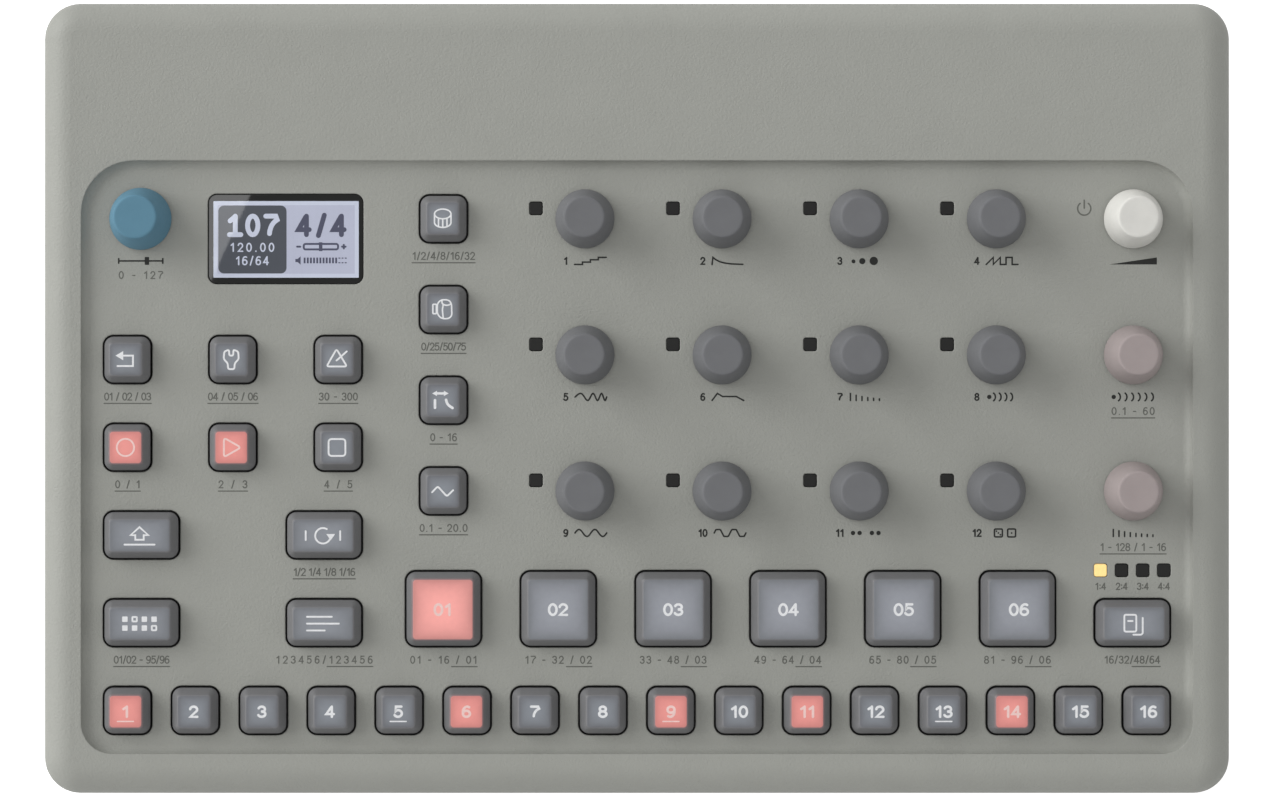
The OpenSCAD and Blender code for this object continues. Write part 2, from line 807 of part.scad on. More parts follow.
// The first knob is the data knob, and the last ones are the volume knob and the effect knobs
module knob(i) {
    shade = i == 0 ? "#5e8498" : i <= grid_n ? "#6e6f72" : i == grid_n + 1 ? "#cfcec8" : "#9b918f";
    translate([knob_xys[i][0], knob_xys[i][1], 0]) {
        color(shade)
            knob_cap(i == 0 ? data_knob_d : knob_d, i == 0 ? data_knob_top_d : knob_top_d);
        color("silver")
            encoder_shaft();
    }
}

// ---- power button and keys ----

module power_button() {
    color("#2a2a2b")
        translate([power_x, 0, socket_z])
            rotate([90, 0, 0]) {
                translate([0, 0, face_sink - body_d / 2])
                    cylinder(d = power_d, h = body_d / 2 - face_sink - power_flange_y + eps);
                translate([0, 0, -power_flange_y])
                    cylinder(d = power_d + 2 * flange_reach, h = flange_t);
                translate([0, 0, -power_plunger_y - eps])
                    cylinder(d = plunger_d, h = power_plunger_y - power_switch_y + power_tip + eps);
            }
}

// Prism along Y whose sides slope in from the shoulder to the top
module slope_prism(w, length) {
    shoulder = panel_z + key_shoulder;
    edge = w / 2 - key_slope;
    rotate([90, 0, 0])
        linear_extrude(length, center = true)
            polygon([
                [-w / 2, 0], [w / 2, 0], [w / 2, shoulder], [edge, key_top_z - key_bevel],
                [edge - key_bevel, key_top_z], [key_bevel - edge, key_top_z],
                [-edge, key_top_z - key_bevel], [-w / 2, shoulder]
            ]);
}

// Key in a hole of hole_w by hole_d: cap, retaining flange and plunger
module key(hole_w, hole_d) {
    w = hole_w - 2 * key_gap;
    d = hole_d - 2 * key_gap;
    flange_top = panel_under - seat;
    flange_z = flange_top - flange_t;
    plunger_z = board_top + case_floor + key_travel + seat;
    intersection() {
        translate([0, 0, flange_top - eps])
            linear_extrude(key_top_z)
                rounded_rect(w, d, hole_r - key_gap);
        slope_prism(w, d);
        rotate([0, 0, 90])
            slope_prism(d, w);
    }
    translate([0, 0, flange_z])
        linear_extrude(flange_t)
            rounded_rect(hole_w + 2 * flange_reach, hole_d + 2 * flange_reach, hole_r);
    translate([0, 0, plunger_z])
        cylinder(d = plunger_d, h = flange_z - plunger_z + eps);
}

module small_key(i) {
    lit = i == 7 || i == 8;
    translate([small_xys[i][0], small_xys[i][1], 0])
        color(lit ? "#d98f88" : "#76787c")
            key(key_hole, key_hole);
}

module wide_key(i) {
    translate([wide_xys[i][0], wide_xys[i][1], 0])
        color("#76787c")
            key(wide_hole, key_hole);
}

module pad(i) {
    translate([pad_xys[i][0], pad_xys[i][1], 0])
        color(i == 0 ? "#e29a93" : "#85888e")
            key(wide_hole, wide_hole);
}

top_housing();
bottom_housing();
circuit_board();
rear_sockets();
display_window();
feet_and_screws();
power_button();
for (i = [0:len(KNOB_NODES) - 1])
    knob(i);
for (i = [0:len(SMALL_KEY_NODES) - 1])
    small_key(i);
for (i = [0:len(WIDE_KEY_NODES) - 1])
    wide_key(i);
for (i = [0:len(PAD_NODES) - 1])
    pad(i);
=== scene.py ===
"""Finished surfaces of a table-top drum machine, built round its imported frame. Shapes are in millimetres until
make_piece puts them into a mesh in metres. X is to the right, Y to the rear and Z up."""

import json
import math
from collections import namedtuple

import bpy
import numpy as np
from bpy.props import FloatProperty, FloatVectorProperty, PointerProperty
from bpy.types import Operator, Panel, PropertyGroup
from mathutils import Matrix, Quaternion, Vector


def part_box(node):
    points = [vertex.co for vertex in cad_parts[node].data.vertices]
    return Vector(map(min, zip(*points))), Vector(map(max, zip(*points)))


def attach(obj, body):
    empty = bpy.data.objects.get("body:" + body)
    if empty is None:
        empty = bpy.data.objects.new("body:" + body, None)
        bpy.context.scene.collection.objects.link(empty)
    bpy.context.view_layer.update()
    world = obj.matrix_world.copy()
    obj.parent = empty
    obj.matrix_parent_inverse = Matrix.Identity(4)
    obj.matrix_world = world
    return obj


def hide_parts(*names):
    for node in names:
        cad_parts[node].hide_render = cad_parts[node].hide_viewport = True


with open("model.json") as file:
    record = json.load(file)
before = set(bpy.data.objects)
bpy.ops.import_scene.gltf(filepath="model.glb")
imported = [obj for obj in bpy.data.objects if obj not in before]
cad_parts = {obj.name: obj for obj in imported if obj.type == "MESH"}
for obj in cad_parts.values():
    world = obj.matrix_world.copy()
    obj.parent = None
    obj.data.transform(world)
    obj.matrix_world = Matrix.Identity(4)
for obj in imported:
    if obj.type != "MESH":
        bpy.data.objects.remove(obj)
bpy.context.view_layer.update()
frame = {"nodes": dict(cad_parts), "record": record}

bl_info = {
    "name": "Drum machine",
    "version": (1, 0, 0),
    "blender": (4, 5, 0),
    "location": "3D View > Sidebar > Drum machine",
    "description": "Makes the finished surfaces of a table-top drum machine",
    "category": "Object",
}

# ---- Sizes that the frame is made with, in millimetres ----

MM = 0.001
PANEL_Z = 27.2
PANEL_T = 2.2
SEAT = 0.3             # clearance between faces that don't touch
KEY_GAP = 0.45
KEY_SHOULDER = 0.7     # height above the panel where a key's side starts to slope in
KEY_SLOPE = 1.4
FLANGE_REACH = 0.8     # a key's flange past its hole
FLANGE_T = 1.0
HOLE_R = 2.5
PLUNGER_R = 1.6
PLUNGER_GAP = 0.1
SHAFT_R = 3.0
SHAFT_GAP = 0.05       # radial clearance round a shaft
KNOB_TOP_R = 4.5
DATA_KNOB_TOP_R = 4.75
CAP_T = 1.8            # plastic between a knob's top and its bore
KNOB_LIFT = 0.5        # gap between a knob and the panel
KNOB_WALL = 1.4
HUB_WALL = 1.35
HOLLOW_SHARE = 0.3     # share of a knob's height that is hollow round the hub
BOARD_Z = 15.0         # top face of the main board
BOARD_T = 1.6
MAIN_BOARD_REAR = 51.9
JACK_BOARD_Z = 6.9     # top face of the jack board
JACK_BOARD_FRONT = 45.9
CASE_LIFT = 0.1        # gap between a board and what stands on it
CASE_FLOOR = 0.4       # height of the bores' ends above the board
ENCODER_HALF = 5.85
ENCODER_H = 6.5
BUSH_R = 3.8
SWITCH_HALF = 3.1
SWITCH_H = 4.6
LIGHT_HALF = 1.42
WALL = 2.3
REAR_Y = 90.0
SOCKET_Z = 13.4
SOCKET_MOUTH_Y = 89.7
FOOT_XY = (116.0, 71.0)
CHIPS = ((-20, 6, 7), (20, 6, 7), (52, 0, 5), (-58, -24, 6))   # x, y and half-width
CHIP_T = 1.5
CONNECTOR_XY = (40, 48.9)
CORNER_SCREW_XY = (127.5, 82.5)
MIDDLE_SCREW_Y = (-82.18, 57.1)
INSIDE_SHADE_BOX = (("X", 0, 126.5), ("Y", 0, 83.5), ("Z", 16.1, 11.05))   # the painted shade's middle and half-size, inside the housing
PRINT_DEPTH = 0.03     # print reaches this far into the face below it
PRINT_T = 0.012        # and stands this far above it
SCREEN_HALF = (16.5, 8.7)
SCREEN_RIM = 0.9       # width of the screen's light rim
DOT_PITCH = 0.26       # of the dots on the display
CAMERA_XY = (0.7, -1.4)
SHARP_ANGLE = math.radians(32)   # faces that meet at more than this keep a hard edge

# Card that the display mirrors: its place from the window in metres, its turn, its power in watts and its sides
CARD_PLACE = (-0.1153, 0.0462, 0.873)
CARD_TURN = math.radians(-24.6)
CARD_POWER = 0.12
CARD_SIZE = (0.05, 0.10)

KNOBS = ["data_knob"] + [f"param_knob_{i}" for i in range(1, 13)]
KNOBS += ["main_volume_knob", "effect_knob_1", "effect_knob_2"]
KNOB_KINDS = {"data_knob": "blue", "main_volume_knob": "white", "effect_knob_1": "pink", "effect_knob_2": "pink"}
STEP_KEYS = [f"step_key_{i}" for i in range(1, 17)]
PADS = [f"pad_{i}" for i in range(1, 7)]
MENU_KEYS = [f"menu_key_{i}" for i in range(1, 5)]
SMALL_KEYS = ["back_key", "tools_key", "tempo_key", "record_key", "play_key", "stop_key"]
WIDE_KEYS = ["function_key", "retrigger_key", "pattern_key", "track_key", "page_key"]
KEYS = STEP_KEYS + PADS + MENU_KEYS + SMALL_KEYS + WIDE_KEYS
LIT_KEYS = {"record_key", "play_key", "pad_1"} | {f"step_key_{i}" for i in (1, 6, 9, 11, 14)}

# A key's zone values: its skirt, the foot and head of its slopes, and its top face from edge to middle
SKIRT, SLOPE_FOOT, SLOPE_HEAD, FACE_EDGE, FACE_MIDDLE = 0.0, 0.3, 0.55, 0.6, 1.0
LIT_SHARE = 0.25       # the share of a lit key's colour that glows as its own light; the rest is painted light in its base colour
SKIRT_END, SPILL_START, SPILL_END = 0.27, 0.5, 0.57   # where the colours of the skirt's painted shade, the slopes and the painted spilt light end or start


def screen_colour(red, green, blue):
    """Linear colour of an 8-bit screen colour."""
    c = np.array([red, green, blue]) / 255
    return tuple(np.where(c <= 0.04045, c / 12.92, ((c + 0.055) / 1.055) ** 2.4))


def node_box(name):
    """Lowest and highest corner of a frame node at rest, in millimetres."""
    low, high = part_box(name)
    return np.array(low) / MM, np.array(high) / MM


BOXES = {name: node_box(name) for name in KEYS + KNOBS + ["display_window", "circuit_board", "power_button"]}
SOCKETS = {mount["name"]: mount for mount in frame["record"]["mounts"] if mount["name"] != "foot_base"}


def middle(name):
    """Centre of a frame node in plan."""
    low, high = BOXES[name]
    return (low[:2] + high[:2]) / 2


def over(name, surface):
    """The surface moved over the middle of a frame node."""
    return placed(surface, (*middle(name), 0))


def socket_x(name):
    """Place of a rear socket along the wall."""
    return SOCKETS[name]["pos_m"][0] / MM


# ---- Surfaces: points, the quads and triangles between them, and a value at each point for its material ----

Surface = namedtuple("Surface", "points quads tris zone")


def loft(rings, zone=None, closed=False):
    """Skin over rings with the same number of points, rings[i, j] being point j of ring i. A ring runs anticlockwise
    seen against the way the rings go, which turns the faces outwards. Each end is closed by a fan to its ring's
    mean point, or with closed the last ring joins the first. zone has one value for each ring."""
    count, around = rings.shape[:2]
    index = np.arange(count * around).reshape(count, around)
    low = index if closed else index[:-1]
    high = np.roll(index, -1, 0) if closed else index[1:]
    quads = np.stack([low, np.roll(low, -1, 1), np.roll(high, -1, 1), high], -1).reshape(-1, 4)
    points = rings.reshape(-1, 3)
    value = np.repeat(np.zeros(count) if zone is None else np.asarray(zone, float), around)
    if closed:
        return Surface(points, quads, np.zeros((0, 3), int), value)
    points = np.vstack([points, rings[0].mean(0), rings[-1].mean(0)])
    value = np.append(value, [value[0], value[-1]])
    first, last = index[0], index[-1]
    start = np.stack([np.full(around, count * around), np.roll(first, -1), first], -1)
    end = np.stack([np.full(around, count * around + 1), last, np.roll(last, -1)], -1)
    return Surface(points, quads, np.vstack([start, end]), value)


def joined(surfaces):
    """Several surfaces as one."""
    surfaces = list(surfaces)
    start = np.cumsum([0] + [len(s.points) for s in surfaces[:-1]])
    return Surface(
        np.vstack([s.points for s in surfaces]),
        np.vstack([s.quads + n for s, n in zip(surfaces, start)]),
        np.vstack([s.tris + n for s, n in zip(surfaces, start)]),
        np.concatenate([s.zone for s in surfaces]),
    )


def placed(surface, origin, right=(1, 0, 0), up=(0, 1, 0)):
    """The surface with its x along right, its y along up and its z along right x up, from origin."""
    axes = np.array([right, up, np.cross(right, up)], float)
    return surface._replace(points=surface.points @ axes + np.asarray(origin, float))


def at_each(surface, places):
    """A copy of the surface at each [x, y] place."""
    return joined(surface._replace(points=surface.points + np.array([p[0], p[1], 0])) for p in places)


def plate_rings(half_w, half_d, radius, z, per_corner=7):
    """Rings round rectangles with round corners, one for each z. A quarter of a ring is a corner's centre, which lies
    half the size less the radius from the middle, plus radius times (cos, sin) over 90 degrees."""
    half_w, half_d, radius, z = np.broadcast_arrays(*(np.asarray(v, float) for v in (half_w, half_d, radius, z)))
    turn = np.radians(np.arange(4)[:, None] * 90 + np.linspace(0, 90, per_corner)).ravel()
    side_x = np.repeat([1, -1, -1, 1], per_corner)
    side_y = np.repeat([1, 1, -1, -1], per_corner)
    x = side_x * (half_w - radius)[:, None] + radius[:, None] * np.cos(turn)
    y = side_y * (half_d - radius)[:, None] + radius[:, None] * np.sin(turn)
    return np.stack([x, y, np.broadcast_to(z[:, None], x.shape)], -1)


def plate(half_w, half_d, radius, low, high, bevel=0.0):
    """Flat plate with round corners, its upper edge rounded by a quarter circle of radius bevel. One more ring on the
    top keeps the shading flat inside the rounded edge."""
    turn = np.linspace(0, math.pi / 2, 4 if bevel else 1)
    inset = np.concatenate([[0], bevel * (1 - np.cos(turn)), [bevel + 0.1]])
    z = np.concatenate([[low], high - bevel + bevel * np.sin(turn), [high]])
    return loft(plate_rings(half_w - inset, half_d - inset, np.maximum(radius - inset, 0.01), z))


def post(rows):
    """Post with its bore as one skin, from rows of (half-width, corner radius, height)."""
    half, radius, z = np.transpose(rows)
    return loft(plate_rings(half, half, radius, z))


def lathe(profile, count=64):
    """Surface of revolution: a profile of (radius, height) points turned round Z, closed on the axis at both ends."""
    radius, height = np.asarray(profile, float).T
    turn = np.arange(count) / count * 2 * math.pi
    rings = np.stack([
        radius[:, None] * np.cos(turn),
        radius[:, None] * np.sin(turn),
        np.broadcast_to(height[:, None], (len(height), count)),
    ], -1)
    return loft(rings)


def rounded(points, cut, steps=5, closed=False):
    """Polyline whose corners are cut back by cut, each bridged by the curve (1-t)^2 a + 2t(1-t) corner + t^2 b."""
    points = np.asarray(points, float)
    corner = points if closed else points[1:-1]
    before = np.roll(points, 1, 0) if closed else points[:-2]
    after = np.roll(points, -1, 0) if closed else points[2:]
    cut = np.broadcast_to(cut, len(corner))[:, None]

    def towards(other):
        way = other - corner
        length = np.linalg.norm(way, axis=1, keepdims=True)
        return corner + way / length * np.minimum(cut, 0.48 * length)

    a, b = towards(before)[:, None], towards(after)[:, None]
    t = np.linspace(0, 1, steps)[:, None]
    bridge = ((1 - t) ** 2 * a + 2 * t * (1 - t) * corner[:, None] + t ** 2 * b).reshape(-1, points.shape[1])
    return bridge if closed else np.vstack([points[:1], bridge, points[-1:]])


def ribbon(points, half, low, high, closed=False):
    """Flat strip that follows a path, a rectangle in section. Its sides lie at half times the mitred normal, and an
    open path goes on past its ends by half sin(a) while the half-width shrinks to half cos(a), for round ends."""
    points = np.asarray(points, float)
    width = np.full(len(points), half)
    if not closed:
        turn = np.radians([80, 55, 28])
        first = (points[0] - points[1]) / np.linalg.norm(points[0] - points[1])
        last = (points[-1] - points[-2]) / np.linalg.norm(points[-1] - points[-2])
        reach = (half * np.sin(turn))[:, None]
        points = np.vstack([points[0] + first * reach, points, points[-1] + last * reach[::-1]])
        width = np.concatenate([half * np.cos(turn), width, half * np.cos(turn[::-1])])
    step = np.roll(points, -1, 0) - points
    if not closed:
        step[-1] = step[-2]
    ahead = step / np.linalg.norm(step, axis=1, keepdims=True)
    behind = np.roll(ahead, 1, 0)
    if not closed:
        behind[0] = ahead[0]
    tangent = ahead + behind
    tangent /= np.linalg.norm(tangent, axis=1, keepdims=True)
    mitre = 1 / np.clip((tangent * ahead).sum(1), 0.5, 1)
    side = np.stack([-tangent[:, 1], tangent[:, 0]], 1) * (width * mitre)[:, None]
    left, right = points + side, points - side
    low_z, high_z = np.full((len(points), 1), low), np.full((len(points), 1), high)
    rings = np.stack([
        np.hstack([left, low_z]), np.hstack([left, high_z]), np.hstack([right, high_z]), np.hstack([right, low_z]),
    ], 1)
    return loft(rings, closed=closed)


# ---- Drawn signs: lists of (kind, points) with kind line, loop or fill, and a stroke width if it has its own ----

def arc(x, y, rx, ry, start, end, steps=14):
    """Points of an ellipse round (x, y), from one angle to another in degrees."""
    turn = np.radians(np.linspace(start, end, steps))
    return np.stack([x + rx * np.cos(turn), y + ry * np.sin(turn)], 1)


def ellipse(x, y, rx, ry, steps=24):
    """Points all round an ellipse, for a closed stroke."""
    return arc(x, y, rx, ry, 0, 360 - 360 / steps, steps)


def circle(x, y, radius, steps=24):
    return ellipse(x, y, radius, radius, steps)


def box_path(x, y, half_w, half_d, cut=0.0):
    """Rectangle round (x, y), with its corners cut round."""
    corners = [(x + half_w, y + half_d), (x - half_w, y + half_d), (x - half_w, y - half_d), (x + half_w, y - half_d)]
    return rounded(corners, cut, closed=True) if cut else np.array(corners, float)


# Numerals and number marks in a cell 1 high: width of the cell, then the strokes
FIGURES = {
    "0": (0.56, [("loop", ellipse(0.28, 0.5, 0.28, 0.5))]),
    "1": (0.42, [("line", [(0.32, 0), (0.32, 1)]), ("line", [(0.30, 0.96), (0.06, 0.76)])]),
    "footed 1": (0.60, [
        ("line", [(0.36, 0), (0.36, 1)]), ("line", [(0.34, 0.97), (0.08, 0.74)]), ("line", [(0.04, 0), (0.66, 0)]),
    ]),
    "2": (0.56, [("line", np.vstack([arc(0.28, 0.71, 0.27, 0.29, 172, -28), [(0.03, 0.0), (0.56, 0.0)]]))]),
    "3": (0.56, [
        ("line", arc(0.27, 0.745, 0.25, 0.255, 160, -82)),
        ("line", arc(0.27, 0.27, 0.28, 0.27, 84, -158)),
    ]),
    "4": (0.58, [("line", [(0.43, 0), (0.43, 1)]), ("line", [(0.40, 0.97), (0.0, 0.27), (0.58, 0.27)])]),
    "5": (0.56, [
        ("line", np.vstack([[(0.52, 1), (0.10, 1), (0.06, 0.50)], arc(0.26, 0.33, 0.30, 0.33, 112, -150)])),
    ]),
    "6": (0.56, [
        ("loop", ellipse(0.28, 0.30, 0.27, 0.30)),
        ("line", arc(0.34, 0.46, 0.33, 0.54, 62, 196)),
    ]),
    "7": (0.54, [("line", np.vstack([[(0.0, 1), (0.54, 1)], arc(0.86, 0.0, 0.66, 0.86, 112, 176, 7)]))]),
    "8": (0.56, [
        ("loop", circle(0.28, 0.765, 0.235)),
        ("loop", ellipse(0.28, 0.265, 0.28, 0.265)),
    ]),
    "9": (0.56, [
        ("loop", ellipse(0.28, 0.70, 0.27, 0.30)),
        ("line", arc(0.22, 0.54, 0.33, 0.54, 16, -118)),
    ]),
    "-": (0.40, [("line", [(0.04, 0.45), (0.36, 0.45)])]),
    "+": (0.50, [("line", [(0.02, 0.45), (0.48, 0.45)]), ("line", [(0.25, 0.2), (0.25, 0.7)])]),
    "/": (0.36, [("line", [(0.02, -0.05), (0.34, 1.05)])]),
    ":": (0.2, [("line", [(0.1, 0.14), (0.1, 0.2)]), ("line", [(0.1, 0.66), (0.1, 0.72)])]),
    ".": (0.14, [("line", [(0.07, 0.0), (0.07, 0.02)])]),
    " ": (0.26, []),
}


def figures(text, height, stroke, gap=0.2, wide=1.0):
    """Numerals set side by side round the middle: their drawn strokes and their whole width. A cell is scaled to the
    height less one stroke, so that the drawn figure is as high as it says, and made wider by wide."""
    scale = height - stroke
    signs, x = [], 0.0
    for mark in text:
        width, strokes = FIGURES[mark]
        signs += [(kind, np.asarray(p, float) * [scale * wide, scale] + [x, -scale / 2]) for kind, p in strokes]
        x += width * scale * wide + gap * height + 0.35 * stroke
    x -= gap * height + 0.35 * stroke
    return [(kind, p - [x / 2, 0]) for kind, p in signs], x + stroke


def fitted(text, width, height, stroke):
    """Numerals spread over a width by the gaps between them, with no gap beyond 0.4 of their height."""
    narrow = figures(text, height, stroke, 0.0)[1]
    gap = (width - narrow) / max(len(text) - 1, 1) / height
    return figures(text, height, stroke, min(gap, 0.4))


def underline(width, share=1.0):
    """Line below a number, as wide as the given share of it at its right-hand end."""
    return [("line", [(width / 2 - width * share, -LINE_DROP), (width / 2, -LINE_DROP)])]


def shifted(signs, x, y):
    return [(kind, np.asarray(p, float) + [x, y], *own) for kind, p, *own in signs]


def wave(half_w, height, turns, speed_up=0.0, clip=1.0):
    """Sine line: height sin(2 pi turns (u + speed_up u^2) / (1 + speed_up)) for u from 0 to 1, clipped at clip."""
    u = np.linspace(0, 1, int(18 * turns) + 1)
    y = np.sin(2 * math.pi * turns * (u + speed_up * u * u) / (1 + speed_up))
    return np.stack([half_w * (2 * u - 1), height * np.clip(y, -clip, clip)], 1)


def decay(half_w, height):
    """Exponential decay: y falls from height to -height as exp(-4 u)."""
    u = np.linspace(0, 1, 16)
    return np.stack([half_w * (2 * u - 1), height * (2 * np.exp(-4 * u) - 1)], 1)


EMPTY_CELLS = ((-1.1, 1.0), (3.3, -1.0))   # of the grid on the pattern key
BOLD_STROKE = 0.57     # of the numerals on keys and pads

# Signs on the key tops
KEY_SIGNS = {
    "menu_key_1": [
        ("loop", ellipse(0, 0.95, 2.05, 1.1, 30)),
        ("line", np.vstack([
            [(-2.05, 0.95), (-2.05, -1.0)], arc(0, -1.0, 2.05, 1.1, 190, 350), [(2.05, -1.0), (2.05, 0.95)],
        ])),
    ] + [("line", [(x, 1.75 + y), (x, y)]) for x, y in ((-1.05, -1.85), (0, -2.0), (1.05, -1.85))],
    "menu_key_2": [
        ("loop", rounded([
            (-1.3, 1.4), (-0.4, 2.3), (1.3, 2.3), (2.1, 1.5), (2.2, -1.6), (1.4, -2.3), (-0.3, -2.3), (-1.3, -1.2),
        ], 0.7, closed=True)),
        ("line", arc(0.95, 1.75, 1.15, 0.8, 168, 330, 10)),
        ("line", rounded([(-0.2, 1.6), (0.15, 1.0), (-0.1, 0.0), (0.1, -2.1)], 0.5)),
        ("loop", box_path(-1.95, 0.05, 0.42, 1.15, 0.2)),
    ],
    "menu_key_3": [
        ("line", [(-1.5, 1.55), (0.5, 1.55)], 0.55),
        ("fill", [(-2.4, 1.55), (-1.3, 0.95), (-1.3, 2.15)]),
        ("fill", [(1.35, 1.55), (0.25, 2.15), (0.25, 0.95)]),
        ("line", [(-1.75, 0.0), (-1.75, -1.7)], 0.6),
        ("line", rounded([(0.75, 0.1), (1.05, -0.95), (2.2, -1.75)], 0.8), 0.6),
    ],
    "menu_key_4": [("line", rounded([(-2.4, -0.2), (-1.13, 1.13), (0.93, -1.13), (2.35, 0.25)], 0.45))],
    "back_key": [
        ("line", [(-0.85, 0.85), (1.7, 0.85), (1.7, -1.5), (-1.8, -1.5)]),
        ("fill", [(-2.25, 0.85), (-0.5, -0.2), (-0.5, 1.9)]),
    ],
    "tools_key": [
        ("loop", rounded([
            (-0.5, 2.2), (-1.57, 1.78), (-1.7, 0.1), (-0.78, -0.9), (-0.7, -2.2), (0.7, -2.2), (0.78, -0.9),
            (1.7, 0.1), (1.57, 1.78), (0.5, 2.2), (0.45, 0.85), (-0.45, 0.85),
        ], 0.42, closed=True)),
    ],
    "tempo_key": [
        ("loop", rounded([(-0.1, 2.35), (-2.35, -1.6), (2.25, -1.6)], 0.6, 6, closed=True)),
        ("line", [(-0.1, -0.25), (2.2, 1.8)]),
    ],
    "record_key": [("loop", circle(0, 0, 1.95, 36))],
    "play_key": [("loop", rounded([(-1.65, 2.2), (-1.65, -2.2), (2.2, 0)], 0.75, 6, closed=True))],
    "stop_key": [("loop", box_path(0, 0, 1.9, 1.9, 0.75))],
    "function_key": [
        ("loop", [(0, 1.9), (-2.0, 0.1), (-0.95, 0.1), (-0.95, -0.95), (0.95, -0.95), (0.95, 0.1), (2.0, 0.1)]),
        ("line", [(-3.4, -2.05), (3.4, -2.05)]),
    ],
    "retrigger_key": [
        ("line", arc(0, -0.05, 1.75, 1.75, 60, 360, 30)),
        ("fill", [(1.75, -1.1), (2.75, 0.35), (0.75, 0.35)]),
    ] + [("line", [(x, 1.0), (x, -1.0)]) for x in (-3.9, 3.9)],
    "pattern_key": [
        ("fill", box_path(x, y, 0.62, 0.62, 0.2))
        for x in (-3.3, -1.1, 1.1, 3.3) for y in (1.0, -1.0) if (x, y) not in EMPTY_CELLS
    ] + [("loop", box_path(x, y, 0.5, 0.5, 0.15)) for x, y in EMPTY_CELLS],
    "track_key": [
        ("line", [(-3.6, 1.55), (2.0, 1.55)]),
        ("line", [(-3.6, 0), (3.6, 0)]),
        ("line", [(-3.6, -1.55), (0.4, -1.55)]),
    ],
    "page_key": [
        ("loop", box_path(-0.9, 0.1, 1.35, 1.9, 0.4)),
        ("line", rounded([(-0.2, -2.5), (1.9, -2.5), (1.9, 1.3)], 0.6)),
        ("line", [(-1.4, 0.6), (-0.4, 0.6)]),
    ],
}
FINE_SIGNS = {"menu_key_1": (0.91, 1.0), "menu_key_2": (0.94, 0.93)}  # shares of the drawn width and height
KEY_SIGNS.update({
    name: [(kind, np.asarray(points) * share, 0.34) for kind, points in KEY_SIGNS[name]]
    for name, share in FINE_SIGNS.items()
})
for names, pattern, height in ((STEP_KEYS, "{}", 2.87), (PADS, "{:02d}", 2.95)):
    for i, name in enumerate(names):
        KEY_SIGNS[name] = figures(pattern.format(i + 1), height, BOLD_STROKE, 0.16, 1.27)[0]
for name, half_w in (("step_key_1", 1.8), ("step_key_5", 1.825), ("step_key_9", 1.825), ("step_key_13", 1.825)):
    KEY_SIGNS[name] += [("line", [(-half_w, -2.2), (half_w, -2.2)], 0.3)]


def echoes(dot_x, places):
    """A dot and the waves that go out from it."""
    return [("fill", circle(dot_x, 0, 0.5))] + [("line", arc(x, 0, 0.7, 0.95, -65, 65, 8)) for x in places]


def fading_bars(half_w, count, fall):
    """Bars from -0.8 up, whose height falls as 1.6 exp(-fall x) along the row."""
    places = np.linspace(-half_w, half_w, count)
    return [("line", [(x, -0.8), (x, 1.6 * math.exp(-fall * (x + half_w)) - 0.8)]) for x in places]


# Signs for what the twelve numbered knobs change, 7.2 mm wide and about 1.6 mm high
KNOB_SIGNS = [
    [("line", [
        (-3.6, -0.8), (-1.8, -0.8), (-1.8, -0.27), (0, -0.27), (0, 0.27), (1.8, 0.27), (1.8, 0.8), (3.6, 0.8),
    ])],
    [("line", np.vstack([[(-3.6, -0.8)], decay(3.4, 0.8)]))],
    [("fill", circle(-2.6, -0.1, 0.45)), ("fill", circle(-0.6, -0.05, 0.7)), ("fill", circle(2.0, 0, 0.95))],
    [("line", [
        (-3.6, -0.8), (-2.0, 0.8), (-2.0, -0.8), (-0.4, 0.8), (-0.4, -0.8), (0.9, -0.8), (0.9, 0.8), (2.3, 0.8),
        (2.3, -0.8), (3.6, -0.8),
    ])],
    [("line", wave(3.6, 0.8, 3, 1.6))],
    [("line", [(-3.6, -0.8), (-2.4, 0.8), (-1.2, 0.1), (1.9, 0.1), (3.6, -0.8)])],
    fading_bars(3.3, 6, 0.22),
    echoes(-2.9, (-2.2, -0.9, 0.4, 1.7)),
    [("line", wave(3.6, 0.8, 2))],
    [("line", wave(3.6, 1.15, 2, clip=0.68))],
    [("fill", circle(x, 0, 0.5)) for x in (-3.1, -1.6, 1.2, 2.7)],
    [("loop", box_path(x, 0, 0.9, 0.9, 0.3)) for x in (-1.3, 1.7)]
    + [("fill", circle(x, y, 0.2, 12)) for x, y in ((-1.75, 0.4), (-0.85, -0.4), (-1.3, 0), (1.7, 0))],
]

SIGN_W = 7.2
SIGN_GAP = 1.5         # between a knob's number and its sign

# Signs below the knobs that have no number
SPECIAL_SIGNS = {
    "data_knob": [("line", [(-5, 0), (5, 0)]), ("fill", box_path(1.4, 0, 0.5, 0.9, 0.2))]
    + [("line", [(x, -0.5), (x, 0.5)]) for x in (-5, 5)],
    "main_volume_knob": [("fill", [(-5.4, -0.8), (5.4, -0.8), (5.4, 0.8)])],
    "effect_knob_1": echoes(-4.4, (-3.6, -2.1, -0.6, 0.9, 2.4, 3.9)),
    "effect_knob_2": fading_bars(4.5, 8, 0.16),
}

